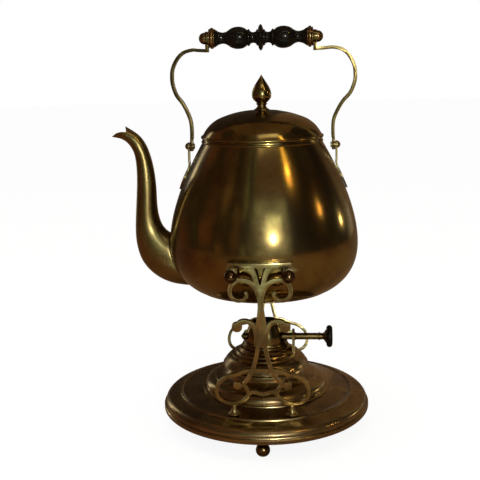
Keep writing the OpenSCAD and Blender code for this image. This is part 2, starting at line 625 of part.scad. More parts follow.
module finial() {
    z = dome_top + seam;
    h = finial_h;
    color(brass) union() {
        spun(concat([[0, z], [6.6, z], [6.6, z + 0.5]],
            cubic([6.2, z + 1], [4.6, z + 1.4], [3.8, z + 2.6], [3.65, z + 4], 5),
            [[4.9, z + 4.9], [4.9, z + 5.5]],
            cubic([4.3, z + 6], [6.4, z + 8], [8.2, z + h * 0.33], [8.25, z + h * 0.42], 7),
            cubic([8.25, z + h * 0.44], [8.1, z + h * 0.64], [3.6, z + h * 0.78], [0, z + h], 10)));
        translate([0, 0, dome_top - 8]) cylinder(r = stem_r, h = 9);
    }
}

module finial_nut() {
    color(old_brass) translate([0, 0, dome_top - wall - 3.6]) difference() {
        cylinder(r = 5, h = 3.5, $fn = 6);
        translate([0, 0, -1]) cylinder(r = stem_r + seam, h = 6);
    }
}

// Bail
pivot_z = neck_z - 3.3;
strap_in = neck_r + 8;
ear_in = strap_in + strap_t + gap;
ear_t = 1.6;
rivet_r = 1.6;
grip_z = pivot_z + bail_h;
ferrule_l = 5.2;
tab_x = grip_l / 2 + ferrule_l + strap_t / 2 + seam;
// Radius of the straps' round ends at the grip, and of those at the pivots
tab_r = 5.6;
strap_eye_r = 3.6;
// Length of the rod's threads past the straps
rod_past = 4.5;
// Half the depth that the ears are cut from
ear_depth = 10;

// The ear's leaf lies along the body, and its stem stands up from the leaf to the rivet
ear_leaf = [[0, -0.4], [2.6, 3], [5, 8], [5.2, 11.4], [3.6, 15.2], [2.6, 18.4], [2.7, 21]];
module ear() {
    leave_z = neck_z - 22;
    low_z = leave_z - 18;
    tip = pivot_z + 3.4;
    lift = 0.1;
    stem_z = leave_z + (ear_in - body_at(leave_z)) * 0.4 + 6;
    line = concat(
        [for (i = [0 : 6]) let (z = low_z - 1 + (leave_z - low_z + 1) * i / 6) [body_at(z) + lift, z]],
        [[max(ear_in - 0.6, body_at(leave_z + 3) + 0.6), leave_z + 3.4], [ear_in, stem_z], [ear_in, tip + 1]]
    );
    side = smooth([for (p = ear_leaf) [p[0], p[1] + low_z]], 3);
    difference() {
        intersection() {
            rotate([90, 0, 0]) translate([0, 0, -ear_depth]) linear_extrude(2 * ear_depth)
                polygon(sheet(line, -ear_t));
            rotate([90, 0, 90]) linear_extrude(2 * kettle_r) union() {
                polygon(concat(side, [[2.7, pivot_z], [-2.7, pivot_z]],
                    backwards([for (p = side) [-p[0], p[1]]])));
                translate([0, pivot_z]) circle(r = 3.4);
            }
        }
        translate([0, 0, pivot_z]) along_x() cylinder(r = rivet_r + seam, h = 2 * kettle_r);
    }
}

module left_ear() { color(brass) mirror([1, 0, 0]) ear(); }
module right_ear() { color(brass) ear(); }

module bail_rivets() {
    color(brass) both_sides() translate([strap_in, 0, pivot_z]) along_x() {
        translate([0, 0, -gap - 0.9]) cylinder(r = rivet_r + 0.9, h = 0.9);
        translate([0, 0, -gap - 0.5]) cylinder(r = rivet_r, h = strap_t + 2 * gap + ear_t + 1);
        translate([0, 0, strap_t + gap + ear_t + seam]) intersection() {
            translate([0, 0, -0.6]) sphere(r = 3.1);
            cylinder(r = 4, h = 4);
        }
    }
}

module strap(reach) {
    corner = grip_z - 9.4;
    mid = strap_in + strap_t / 2;
    bulge = reach - strap_t / 2;
    line = concat([[mid, pivot_z - 4]], [for (p = smooth([
        [mid, pivot_z], [mid - 0.6, pivot_z + 12], [mid, pivot_z + 21],
        [mid + (bulge - mid) * 0.15, pivot_z + 28], [mid + (bulge - mid) * 0.43, pivot_z + 36.5],
        [mid + (bulge - mid) * 0.78, corner - 37], [bulge - 0.4, corner - 28], [bulge, corner - 21],
        [bulge - 1, corner - 14.5], [bulge - 5, corner - 6.8], [bulge - 10.5, corner - 1.8],
        [bulge - 18, corner + 0.2], [tab_x + 8, corner - 0.2], [tab_x + 1.2, corner - 0.6]
    ], 4)) p]);
    difference() {
        union() {
            rotate([90, 0, 0]) translate([0, 0, -strap_w / 2]) linear_extrude(strap_w) {
                polygon(strand(line, strap_t, strap_t));
                translate([tab_x - strap_t / 2, corner - 0.6 - strap_t / 2]) square([strap_t, 5]);
            }
            translate([tab_x - strap_t / 2, -strap_w / 2, corner - 1])
                cube([strap_t, strap_w, grip_z - corner]);
            translate([tab_x - strap_t / 2, 0, grip_z]) along_x() cylinder(r = tab_r, h = strap_t);
            translate([strap_in, 0, pivot_z]) along_x() cylinder(r = strap_eye_r, h = strap_t);
        }
        translate([0, 0, pivot_z]) along_x() cylinder(r = rivet_r + fit, h = 2 * kettle_r);
        translate([0, 0, grip_z]) along_x() cylinder(r = stem_r + seam, h = 2 * kettle_r);
        for (x = [strap_in - strap_w, strap_in + strap_t]) translate([x, -strap_w, pivot_z - 2 * strap_w])
            cube([strap_w, 2 * strap_w, 3 * strap_w]);
    }
}

module left_strap() { color(brass) mirror([1, 0, 0]) strap(bail_r); }
module right_strap() { color(brass) strap(bail_r + bail_bend); }

module grip_rod() {
    color(old_brass) translate([-tab_x - rod_past, 0, grip_z]) along_x()
        cylinder(r = stem_r, h = 2 * (tab_x + rod_past));
}

module ferrules() {
    r = 8.7;
    color(brass) both_sides() translate([grip_l / 2, 0, grip_z]) along_x() difference() {
        rotate_extrude() polygon(concat([[0, seam], [r - 1.4, seam], [r - 1, 0.8]],
            [for (i = [0 : 10]) let (a = -60 + 120 * i / 10)
                [r - 0.8 + 0.8 * cos(a), ferrule_l * 0.45 + 1.3 * sin(a)]],
            [[r - 1.2, ferrule_l - 1.2], [r - 0.9, ferrule_l - 0.6], [r - 1.6, ferrule_l - seam],
             [0, ferrule_l - seam]]));
        translate([0, 0, -1]) cylinder(r = stem_r + seam, h = ferrule_l + 2);
    }
}

module grip() {
    l = grip_l / 38.5 / 2;
    r = grip_r;
    half = concat(
        cubic([r * 1.16, 0], [r * 1.16, 0.8], [r * 0.92, 1.9], [r * 0.72, 2.2], 5),
        [[r * 0.7, 3.5 * l]],
        cubic([r * 0.56, 3.9 * l], [r * 0.44, 5.4 * l], [r * 0.44, 7.6 * l], [r * 0.6, 9 * l], 6),
        [[r * 0.72, 9.4 * l], [r * 0.74, 10.4 * l], [r * 0.68, 11.2 * l]],
        cubic([r * 0.72, 11.5 * l], [r * 0.98, 14 * l], [r * 1.09, 19.5 * l], [r * 0.86, 24.4 * l], 9),
        cubic([r * 0.78, 25.6 * l], [r * 0.6, 28 * l], [r * 0.48, 29.4 * l], [r * 0.5, 32.5 * l], 7),
        cubic([r * 0.53, 33.5 * l], [r * 0.58, 36 * l], [r * 0.74, 37 * l], [r * 0.8, 38.5 * l - seam], 5)
    );
    color(black) translate([0, 0, grip_z]) along_x() difference() {
        rotate_extrude() polygon(concat([[0, -38.5 * l + seam]], [for (p = backwards(half)) [p[0], -p[1]]],
            [for (i = [1 : len(half) - 1]) half[i]], [[0, 38.5 * l - seam]]));
        translate([0, 0, -grip_l]) cylinder(r = stem_r + fit, h = 2 * grip_l);
    }
}

module grip_nuts() {
    r = 4.85;
    color(old_brass) both_sides() translate([tab_x + strap_t / 2 + seam, 0, grip_z]) along_x() difference() {
        intersection() {
            translate([0, 0, 0.6]) sphere(r = r);
            cylinder(r = r + 1, h = 2 * r);
        }
        translate([0, 0, -1]) cylinder(r = stem_r + seam, h = 4.8);
    }
}

base_plate();
ball_feet();
lamp_seat();
arm_studs();
stud_screws();
front_arm();
back_arm();
pivot_pins();
rest_pins();
font_bowl();
font_cap();
burner_collar();
burner_cone();
winder_bosses();
wick_tube();
wick();
shaft_post();
winder_rod();
spur_wheels();
winder_ferrule();
winder_knob();
kettle_body();
kettle_bottom();
spout();
neck_ring();
front_bracket();
back_bracket();
left_ear();
right_ear();
bail_rivets();
lid_dome();
lid_flange();
finial();
finial_nut();
left_strap();
right_strap();
grip_rod();
ferrules();
grip();
grip_nuts();
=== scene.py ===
# %% [markdown]
# # A brass spirit kettle on its stand
# The real object is spun, cast and turned brass with black turned wood. This notebook loads the
# measured CAD model as a fixed frame, then dresses it. Most of the kettle is round, so most pieces
# here are turned from one outline, as a metal spinner turns sheet over a wooden form. The cast
# scrollwork keeps its CAD shape and gets softened edges.

# %% Load the frame and keep its size
import json
import math

import bpy
from mathutils import Matrix, Vector

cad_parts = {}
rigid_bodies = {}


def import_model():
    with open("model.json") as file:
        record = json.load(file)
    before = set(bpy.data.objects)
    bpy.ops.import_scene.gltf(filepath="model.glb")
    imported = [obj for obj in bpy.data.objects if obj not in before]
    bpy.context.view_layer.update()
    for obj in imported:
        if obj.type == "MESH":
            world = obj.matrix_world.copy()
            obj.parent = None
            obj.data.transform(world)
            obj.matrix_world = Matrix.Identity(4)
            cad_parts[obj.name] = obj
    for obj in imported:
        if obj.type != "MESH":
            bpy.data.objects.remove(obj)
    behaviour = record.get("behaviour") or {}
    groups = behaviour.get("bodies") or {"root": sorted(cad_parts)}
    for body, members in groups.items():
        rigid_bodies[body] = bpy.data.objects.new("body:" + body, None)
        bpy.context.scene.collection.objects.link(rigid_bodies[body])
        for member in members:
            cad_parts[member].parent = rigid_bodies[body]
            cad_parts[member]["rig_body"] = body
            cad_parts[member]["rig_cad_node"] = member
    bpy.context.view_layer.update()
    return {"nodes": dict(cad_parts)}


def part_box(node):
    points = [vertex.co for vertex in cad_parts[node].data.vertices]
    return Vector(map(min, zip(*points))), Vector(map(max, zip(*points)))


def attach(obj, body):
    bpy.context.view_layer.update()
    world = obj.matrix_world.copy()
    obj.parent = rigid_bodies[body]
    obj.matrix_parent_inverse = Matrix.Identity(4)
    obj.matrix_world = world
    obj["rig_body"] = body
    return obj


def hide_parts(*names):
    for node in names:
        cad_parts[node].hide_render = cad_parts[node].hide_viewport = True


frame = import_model()

# %% [markdown]
# ## The camera
# The photograph was taken from a little above the grip, slightly to the right of the middle, with
# a short telephoto lens. The three directions below are the camera's right, up and view
# directions. A camera in Blender looks along its own -Z, so the view direction is turned round.

# %% Place the camera
SENSOR = 36.0
FOCAL_SHARE = 862.9 / 480  # focal length in picture widths
camera_data = bpy.data.cameras.new("photo_camera")
camera_data.sensor_width = SENSOR
camera_data.lens = FOCAL_SHARE * SENSOR
camera = bpy.data.objects.new("photo_camera", camera_data)
bpy.context.scene.collection.objects.link(camera)
view_right = Vector((0.99774, 0.06397, -0.02038))
view_up = Vector((0.0067, 0.20712, 0.97829))
view_ahead = Vector((-0.0668, 0.97622, -0.20622))
camera.matrix_world = Matrix.Translation((0.02975, -0.73903, 0.3214)) @ Matrix(
    (view_right, view_up, -view_ahead)).transposed().to_4x4()
bpy.context.scene.camera = camera
bpy.context.scene.view_settings.view_transform = "Standard"
print("lens", round(camera_data.lens, 2), "mm")

# %% [markdown]
# ## Helpers for outlines
# A spinner works from a template of the profile. The outlines below are lists of (radius, height)
# points in millimetres. Long sweeps are cubic curves, sampled finely enough that a polished
# surface shows no flats. `sheet` gives a line the thickness of the metal, on its left side.

# %% Outline helpers
MM = 0.001


def cubic(a, b, c, d, steps=10):
    """Points of a cubic curve from a to d, drawn towards b and c."""
    points = []
    for i in range(steps + 1):
        t = i / steps
        weights = ((1 - t) ** 3, 3 * t * (1 - t) ** 2, 3 * t * t * (1 - t), t ** 3)
        points.append(tuple(sum(w * p[k] for w, p in zip(weights, (a, b, c, d))) for k in (0, 1)))
    return points


def bead(radius, height, across, along, spread=70, steps=10):
    """Points round a half-round bead, from below to above."""
    angles = [math.radians(-spread + 2 * spread * i / steps) for i in range(steps + 1)]
    return [(radius + across * math.cos(a), height + along * math.sin(a)) for a in angles]


def ridge(radius, height, half_width, rise, steps=10):
    """Points over a raised ring, from its outer to its inner side."""
    angles = [math.radians(15 + 150 * i / steps) for i in range(steps + 1)]
    return [(radius + half_width * math.cos(a), height + rise * math.sin(a)) for a in angles]


def beside(line, distance):
    """The same line moved to its left."""
    moved = []
    for i, point in enumerate(line):
        before, after = line[max(i - 1, 0)], line[min(i + 1, len(line) - 1)]
        run, rise = after[0] - before[0], after[1] - before[1]
        length = math.hypot(run, rise) or 1
        moved.append((point[0] - distance * rise / length, point[1] + distance * run / length))
    return moved


def sheet(line, thickness):
    """Closed outline of sheet metal along a line."""
    return line + beside(line, thickness)[::-1]


def arc(radius, centre, first, last=math.pi / 2, steps=20):
    """Points round a ball on the axis, between two angles above the level of its centre."""
    angles = [first + (last - first) * i / steps for i in range(steps + 1)]
    return [(radius * math.cos(a), centre + radius * math.sin(a)) for a in angles]


def placed(radius, height, points):
    """Points that were given from a corner of the piece, put where that corner is."""
    return [(radius + r, height + z) for r, z in points]


def heights(node):
    """Radius, lowest and highest level of a CAD node, in millimetres."""
    low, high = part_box(node)
    return high.x / MM, low.z / MM, high.z / MM


def centre_of(node):
    """Centre of a CAD node, in millimetres."""
    low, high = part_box(node)
    return (low + high) / 2 / MM


# %% [markdown]
# ## Helpers for pieces
# `turn` is the lathe: a small plane is merged to one point, the point is extruded along the
# outline, and the edge chain is spun once round the axis. Points on the axis and the closing seam
# are merged, and the normals are worked out afresh, because a spin can turn a shape inside out.

# %% Lathe and finishing helpers
SHARP, SHARP_CAST = 32, 40  # degrees between faces, above which an edge stays sharp


def only(piece):
    """Selects one piece and nothing else."""
    if bpy.context.mode != "OBJECT":
        bpy.ops.object.mode_set(mode="OBJECT")
    bpy.ops.object.select_all(action="DESELECT")
    if piece is not None:
        piece.select_set(True)
        bpy.context.view_layer.objects.active = piece


def named(name):
    """Names the piece that was made last."""
    piece = bpy.context.active_object
    piece.name = name
    return piece


def duplicate(piece, name):
    """A copy of a piece under another name."""
    only(piece)
    bpy.ops.object.duplicate()
    return named(name)


def edit_all():
    """Opens the active piece's mesh with everything selected."""
    bpy.ops.object.mode_set(mode="EDIT")
    bpy.ops.mesh.select_all(action="SELECT")


def smooth(piece, angle=SHARP):
    """Shades a piece smooth, with sharp edges where faces meet at more than the angle."""
    only(piece)
    bpy.ops.object.shade_smooth_by_angle(angle=math.radians(angle))
    return piece


def settle(piece):
    """Puts a piece's place into its mesh, so that its object sits at the origin."""
    only(piece)
    bpy.ops.object.transform_apply(location=True, rotation=True, scale=True)
    return piece


def apply_all(piece):
    """Applies every modifier on a piece."""
    only(piece)
    for modifier in list(piece.modifiers):
        bpy.ops.object.modifier_apply(modifier=modifier.name)
    return piece


def turn(name, outline, sides=96):
    """Spins an outline of (radius, height) millimetres round the Z axis."""
    points = [Vector((r * MM, 0, z * MM)) for r, z in outline + outline[:1]]
    only(None)
    bpy.ops.mesh.primitive_plane_add(size=1)
    piece = named(name)
    edit_all()
    bpy.ops.mesh.merge(type="CENTER")
    bpy.ops.transform.translate(value=points[0])
    for before, after in zip(points, points[1:]):
        bpy.ops.mesh.extrude_region_move(TRANSFORM_OT_translate={"value": after - before})
    bpy.ops.mesh.select_all(action="SELECT")
    bpy.ops.mesh.spin(steps=sides, angle=math.tau, center=(0, 0, 0), axis=(0, 0, 1))
    bpy.ops.mesh.select_all(action="SELECT")
    bpy.ops.mesh.remove_doubles(threshold=MM / 500)
    bpy.ops.mesh.dissolve_degenerate(threshold=MM / 500)
    bpy.ops.mesh.normals_make_consistent(inside=False)
    only(piece)
    return smooth(piece)


def stand_at(piece, place, turned=(0, 0, 0)):
    """Turns a piece and puts it at a place in millimetres, inside its mesh."""
    piece.rotation_euler = [math.radians(a) for a in turned]
    piece.location = Vector(place) * MM
    return settle(piece)


def both_ends(x, z):
    """Places and turnings for an upright piece at both ends of something along X."""
    return [((side * x, 0, z), (0, side * 90, 0)) for side in (1, -1)]


def copies(piece, name, places):
    """Copies a piece to each (place, turning), joins the copies and returns them as one piece."""
    made = [stand_at(duplicate(piece, name), place, turned) for place, turned in places]
    bpy.data.objects.remove(piece)
    only(made[0])
    for other in made:
        other.select_set(True)
    bpy.ops.object.join()
    return named(name)


def cut(piece, cutter):
    """Cuts one piece out of another and throws the cutter away."""
    modifier = piece.modifiers.new("cut", "BOOLEAN")
    modifier.object = cutter
    modifier.solver = "EXACT"
    apply_all(piece)
    bpy.data.objects.remove(cutter)
    return piece


def drill(piece, place, radius, length, turned=(0, 0, 0)):
    """Drills a round hole of a length along the turned Z axis, from a place in millimetres."""
    only(None)
    bpy.ops.mesh.primitive_cylinder_add(vertices=32, radius=radius * MM, depth=length * MM,
                                        location=Vector(place) * MM,
                                        rotation=[math.radians(a) for a in turned])
    return cut(piece, settle(bpy.context.active_object))


def softened(node, name, width, segments=2):
    """A copy of a CAD node with its doubled points merged and its edges rounded."""
    piece = duplicate(frame["nodes"][node], name)
    bpy.ops.object.parent_clear(type="CLEAR_KEEP_TRANSFORM")
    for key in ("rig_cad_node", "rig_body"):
        del piece[key]
    bpy.ops.mesh.customdata_custom_splitnormals_clear()
    edit_all()
    bpy.ops.mesh.remove_doubles(threshold=MM / 200)
    bpy.ops.mesh.dissolve_limited(angle_limit=math.radians(0.6))
    bpy.ops.mesh.normals_make_consistent(inside=False)
    only(piece)
    if width:
        modifier = piece.modifiers.new("soft edges", "BEVEL")
        modifier.width = width * MM
        modifier.segments = segments
        modifier.limit_method = "ANGLE"
        modifier.angle_limit = math.radians(SHARP)
        apply_all(piece)
    return smooth(piece, SHARP_CAST)


def finish_piece(piece, body, material, nodes):
    """Gives a piece its material and its body, and hides the CAD nodes that it stands for."""
    piece.data.materials.clear()
    piece.data.materials.append(material)
    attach(piece, body)
    if nodes:
        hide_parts(*nodes)
    print(piece.name, len(piece.data.polygons), "faces")


def finish_castings(nodes, ending, width, body, material, segments=2):
    """Softens the edges of CAD nodes and finishes them as castings."""
    for node in nodes:
        piece = softened(node, node + ending, width, segments)
        finish_piece(piece, body, material, [node])


# %% [markdown]
# ## Finishes shared by several metals
# Old brass is never one colour. Air and fingers tarnish it in soft patches, polishing leaves fine
# lines round a spun piece, and edges that are rubbed stay bright. Each effect is a node group, so
# that every metal can use it with its own values. The groups give out masks and heights only.

# %% Node helpers
def feed(into, value):
    """Gives an input a value, or a link if the value is another node's output."""
    if isinstance(value, bpy.types.NodeSocket):
        into.id_data.links.new(value, into)
    elif value is not None:
        into.default_value = value


def give(node, **settings):
    """Sets a node's properties, or feeds its inputs, by name."""
    for name, value in settings.items():
        if hasattr(node, name):
            setattr(node, name, value)
        else:
            feed(node.inputs[name.replace("_", " ")], value)
    return node


def new_material(name):
    """A material with its node tree and its Principled shader."""
    material = bpy.data.materials.new(name)
    material.use_nodes = True
    return material, material.node_tree, material.node_tree.nodes["Principled BSDF"]


def add(tree, kind, **settings):
    """Adds a node and sets it."""
    return give(tree.nodes.new(kind), **settings)


def calculate(tree, operation, a, b=None):
    """A Math node whose inputs are sockets or numbers."""
    node = add(tree, "ShaderNodeMath", operation=operation)
    feed(node.inputs[0], a)
    feed(node.inputs[1], b)
    return node.outputs[0]


def add_ramp(tree, factor, colours, positions=(0, 1)):
    """The colour that a factor picks between two colours."""
    ramp = add(tree, "ShaderNodeValToRGB", Fac=factor)
    for stop, colour, position in zip(ramp.color_ramp.elements, colours, positions):
        stop.color, stop.position = (*colour, 1), position
    return ramp.outputs["Color"]


def new_group(name, inputs, outputs):
    """A shader node group with float inputs (with defaults) and float outputs."""
    tree = bpy.data.node_groups.new(name, "ShaderNodeTree")
    for label, value in inputs.items():
        socket = tree.interface.new_socket(label, in_out="INPUT", socket_type="NodeSocketFloat")
        socket.default_value = value
    for label in outputs:
        tree.interface.new_socket(label, in_out="OUTPUT", socket_type="NodeSocketFloat")
    return tree, tree.nodes.new("NodeGroupInput"), tree.nodes.new("NodeGroupOutput")


# %% [markdown]
# Tarnish comes in soft clouds a few centimetres across, with small specks where damp stood. Two
# noises in Object coordinates give one mask for each, so that nothing slides when a piece moves.

# %% Tarnish group
def make_tarnish():
    tree, given, result = new_group(
        "tarnish", {"Cloud Scale": 30, "Cloud Contrast": 3, "Speck Scale": 900}, ("Clouds", "Specks"))
    place = add(tree, "ShaderNodeTexCoord").outputs["Object"]
    clouds = add(tree, "ShaderNodeTexNoise", Vector=place, Scale=given.outputs["Cloud Scale"], Detail=5,
                 Roughness=0.55, Distortion=0.4)
    swing = calculate(tree, "SUBTRACT", clouds.outputs["Fac"], 0.5)
    swing = calculate(tree, "MULTIPLY", swing, given.outputs["Cloud Contrast"])
    soft = add(tree, "ShaderNodeClamp", Value=calculate(tree, "ADD", swing, 0.5))
    specks = add(tree, "ShaderNodeTexNoise", Vector=place, Scale=given.outputs["Speck Scale"], Detail=2,
                 Roughness=0.5)
    few = add(tree, "ShaderNodeMapRange", Value=specks.outputs["Fac"], From_Min=0.63, From_Max=0.72)
    give(result, Clouds=soft.outputs[0], Specks=few.outputs[0])
    return tree


tarnish_group = make_tarnish()
print("group", tarnish_group.name)

# %% [markdown]
# Cloths rub the edges bright. The Bevel node gives the normal that a rounded edge would have, and
# where it leans away from the true normal there is an edge. Noise breaks the line up.

# %% Worn edge group
def make_worn_edges():
    tree, given, result = new_group("worn_edges", {"Width": 0.0008, "Strength": 4}, ("Edges",))
    rounded = add(tree, "ShaderNodeBevel", samples=4, Radius=given.outputs["Width"])
    true = add(tree, "ShaderNodeNewGeometry")
    agree = add(tree, "ShaderNodeVectorMath", operation="DOT_PRODUCT")
    feed(agree.inputs[0], rounded.outputs[0])
    feed(agree.inputs[1], true.outputs["Normal"])
    lean = calculate(tree, "SUBTRACT", 1, agree.outputs["Value"])
    place = add(tree, "ShaderNodeTexCoord").outputs["Object"]
    patchy = add(tree, "ShaderNodeTexNoise", Vector=place, Scale=160, Detail=4)
    rubbed = calculate(tree, "MULTIPLY", lean, given.outputs["Strength"])
    rubbed = calculate(tree, "MULTIPLY", rubbed, calculate(tree, "ADD", patchy.outputs["Fac"], 0.35))
    give(result, Edges=add(tree, "ShaderNodeClamp", Value=rubbed).outputs[0])
    return tree


worn_edge_group = make_worn_edges()
print("group", worn_edge_group.name)

# %% [markdown]
# A spun piece is polished on the lathe, so its finest lines run round the axis. Noise that reads
# only the radius and the height has the same value all round, which gives exactly such lines.
# Fine grain stands for the sand in which cast pieces are poured.

# %% Polish line group
def make_polish_lines():
    tree, given, result = new_group("polish_lines", {"Lines": 1500, "Grain": 1200}, ("Rings", "Grain"))
    place = add(tree, "ShaderNodeTexCoord").outputs["Object"]
    x, y, z = add(tree, "ShaderNodeSeparateXYZ", Vector=place).outputs
    square = calculate(tree, "ADD", calculate(tree, "MULTIPLY", x, x), calculate(tree, "MULTIPLY", y, y))
    round_the_axis = add(tree, "ShaderNodeCombineXYZ", X=calculate(tree, "SQRT", square), Y=z)
    rings = add(tree, "ShaderNodeTexNoise", Vector=round_the_axis.outputs[0],
                Scale=given.outputs["Lines"], Detail=3, Roughness=0.6)
    grain = add(tree, "ShaderNodeTexNoise", Vector=place, Scale=given.outputs["Grain"], Detail=3,
                Roughness=0.65)
    give(result, Rings=rings.outputs["Fac"], Grain=grain.outputs["Fac"])
    return tree


polish_line_group = make_polish_lines()
print("group", polish_line_group.name)

# %% [markdown]
# ## The metals
# One recipe makes every brass: a clean colour, a tarnished colour in the clouds, dark specks, and
# bright worn edges. Tarnish is duller than clean metal, so the same cloud mask raises the
# roughness. The finishes differ in their colours, in how much of each effect they have, and in
# whether rings or sand grain show in the surface.

# %% Brass recipe
HAZE_ROUGH = 0.32
SPECK_SHARE = 0.35  # how much of the tarnished colour a speck keeps


def make_brass(name, clean, tarnished, edge, roughness, tarnish_rough, clouds=30, contrast=3, specks=0.3,
               speck_scale=900, edge_width=0.0008, edge_strength=4, rings=0.0, grain=0.0, haze=0.0):
    material, tree, shader = new_material(name)
    give(shader, Metallic=1, Coat_Weight=haze, Coat_Roughness=HAZE_ROUGH)
    tarnish = add(tree, "ShaderNodeGroup", node_tree=tarnish_group, Cloud_Scale=clouds,
                  Cloud_Contrast=contrast, Speck_Scale=speck_scale)
    edges = add(tree, "ShaderNodeGroup", node_tree=worn_edge_group, Width=edge_width, Strength=edge_strength)
    lines = add(tree, "ShaderNodeGroup", node_tree=polish_line_group)

    # The Mix node keeps its colour sockets behind those for numbers, so they are picked by type.
    def mixed(factor, a, b):
        mix = add(tree, "ShaderNodeMix", data_type="RGBA")
        sockets = {s.name: s for s in mix.inputs if s.type == "RGBA"}
        feed(mix.inputs[0], factor)
        for label, value in (("A", a), ("B", b)):
            feed(sockets[label], (*value, 1) if isinstance(value, tuple) else value)
        return next(s for s in mix.outputs if s.type == "RGBA")

    metal_colour = mixed(tarnish.outputs["Clouds"], clean, tarnished)
    dark = tuple(SPECK_SHARE * c for c in tarnished)
    metal_colour = mixed(calculate(tree, "MULTIPLY", tarnish.outputs["Specks"], specks), metal_colour, dark)
    metal_colour = mixed(edges.outputs["Edges"], metal_colour, edge)
    rough = add(tree, "ShaderNodeMapRange", Value=tarnish.outputs["Clouds"], To_Min=roughness,
                To_Max=tarnish_rough)
    height = calculate(tree, "ADD", calculate(tree, "MULTIPLY", lines.outputs["Rings"], rings),
                       calculate(tree, "MULTIPLY", lines.outputs["Grain"], grain))
    bump = add(tree, "ShaderNodeBump", Strength=1.0, Distance=0.0001, Height=height)
    give(shader, Base_Color=metal_colour, Roughness=rough.outputs[0], Normal=bump.outputs[0])
    return material


# %% Every brass on the object
RUBBED = (0.58, 0.44, 0.17)
kettle_brass = make_brass(
    "kettle_brass", (0.36, 0.26, 0.08), (0.18, 0.105, 0.03), RUBBED, 0.12, 0.2, clouds=24, contrast=4,
    specks=0.45, speck_scale=350, rings=0.01, haze=0.3)
spout_brass = make_brass(
    "spout_brass", (0.37, 0.29, 0.11), (0.21, 0.145, 0.05), RUBBED, 0.24, 0.34, speck_scale=400,
    grain=0.02, haze=0.3)
base_brass = make_brass(
    "base_brass", (0.47, 0.34, 0.16), (0.23, 0.15, 0.07), (0.6, 0.47, 0.22), 0.2, 0.32, clouds=26,
    contrast=4, specks=0.4, speck_scale=400, edge_width=0.0012, edge_strength=5, rings=0.015, haze=0.3)
cast_brass = make_brass(
    "cast_brass", (0.6, 0.5, 0.23), (0.3, 0.225, 0.1), (0.72, 0.62, 0.34), 0.22, 0.36, clouds=70,
    contrast=5, specks=0.4, speck_scale=500, edge_strength=5, grain=0.06, haze=0.12)
trim_brass = make_brass(
    "trim_brass", (0.27, 0.19, 0.07), (0.12, 0.075, 0.026), (0.45, 0.34, 0.14), 0.2, 0.3, clouds=40,
    contrast=2, specks=0.1, edge_width=0.0003, edge_strength=0.5, haze=0.2)
strap_brass = make_brass(
    "strap_brass", (0.2, 0.15, 0.055), (0.1, 0.07, 0.025), RUBBED, 0.2, 0.3, clouds=40, contrast=2,
    specks=0.1, edge_strength=0, haze=0.1)
# The pins are painted darker than the rest of the brass, as a painted dark reflection: their polished balls
# mirror dark surroundings.
painted_dark_pin_brass = make_brass(
    "painted_dark_pin_brass", (0.17, 0.10, 0.05), (0.09, 0.05, 0.025), (0.4, 0.27, 0.12), 0.1, 0.18, clouds=90,
    edge_width=0.0005)
nut_brass = make_brass(
    "nut_brass", (0.38, 0.255, 0.11), (0.2, 0.115, 0.045), (0.6, 0.42, 0.2), 0.18, 0.28, clouds=90,
    edge_width=0.0005, haze=0.2)
print("brasses:", [m.name for m in bpy.data.materials if m.name.endswith("_brass")])

# %% [markdown]
# The grip and the knob are wood, stained black and polished until the grain barely shows. Fine
# streaks along the grip give it away under the gloss, so they drive a faint bump and a slight
# brown in the black. A coat lays the polish over them.

# %% Black wood
def make_black_wood():
    material, tree, shader = new_material("black_wood")
    place = add(tree, "ShaderNodeTexCoord").outputs["Object"]
    stretch = add(tree, "ShaderNodeMapping", Vector=place, Scale=(30, 700, 700))
    grain = add(tree, "ShaderNodeTexNoise", Vector=stretch.outputs[0], Scale=1, Detail=4, Roughness=0.6)
    streaks = grain.outputs["Fac"]
    colour = add_ramp(tree, streaks, ((0.002, 0.0017, 0.0015), (0.012, 0.008, 0.005)), (0.35, 0.8))
    bump = add(tree, "ShaderNodeBump", Strength=0.3, Distance=0.00005, Height=streaks)
    rough = add(tree, "ShaderNodeMapRange", Value=streaks, To_Min=0.12, To_Max=0.26)
    give(shader, Base_Color=colour, Normal=bump.outputs[0], Roughness=rough.outputs[0],
         Specular_IOR_Level=0.02, Coat_Weight=0.45, Coat_Roughness=0.03)
    return material


black_wood = make_black_wood()

# %% [markdown]
# The wick is flat woven cotton, white below and scorched at the top. Two waves across each other
# make the weave, and the height above the burner blackens the colour.

# %% Wick cotton
def make_cotton(scorch_from, scorch_to):
    material, tree, shader = new_material("wick_cotton")
    place = add(tree, "ShaderNodeTexCoord").outputs["Object"]
    level = add(tree, "ShaderNodeSeparateXYZ", Vector=place).outputs[2]
    warp = add(tree, "ShaderNodeTexWave", Vector=place, Scale=180, bands_direction="X")
    weft = add(tree, "ShaderNodeTexWave", Vector=place, Scale=180, bands_direction="Z")
    weave = calculate(tree, "MULTIPLY", warp.outputs["Fac"], weft.outputs["Fac"])
    scorch = add(tree, "ShaderNodeMapRange", Value=level, From_Min=scorch_from, From_Max=scorch_to)
    colour = add_ramp(tree, scorch.outputs[0], ((0.55, 0.47, 0.33), (0.02, 0.016, 0.012)))
    bump = add(tree, "ShaderNodeBump", Strength=0.6, Distance=0.0003, Height=weave)
    give(shader, Base_Color=colour, Normal=bump.outputs[0], Roughness=0.95)
    return material


# %% [markdown]
# ## The base
# The base is one disc of spun brass. From the rim it goes up over a rolled border to a raised
# bead, and from there slowly to the lamp. The outline follows that path, and `sheet` folds it back
# underneath, so that the piece is a shell, as the real one is.

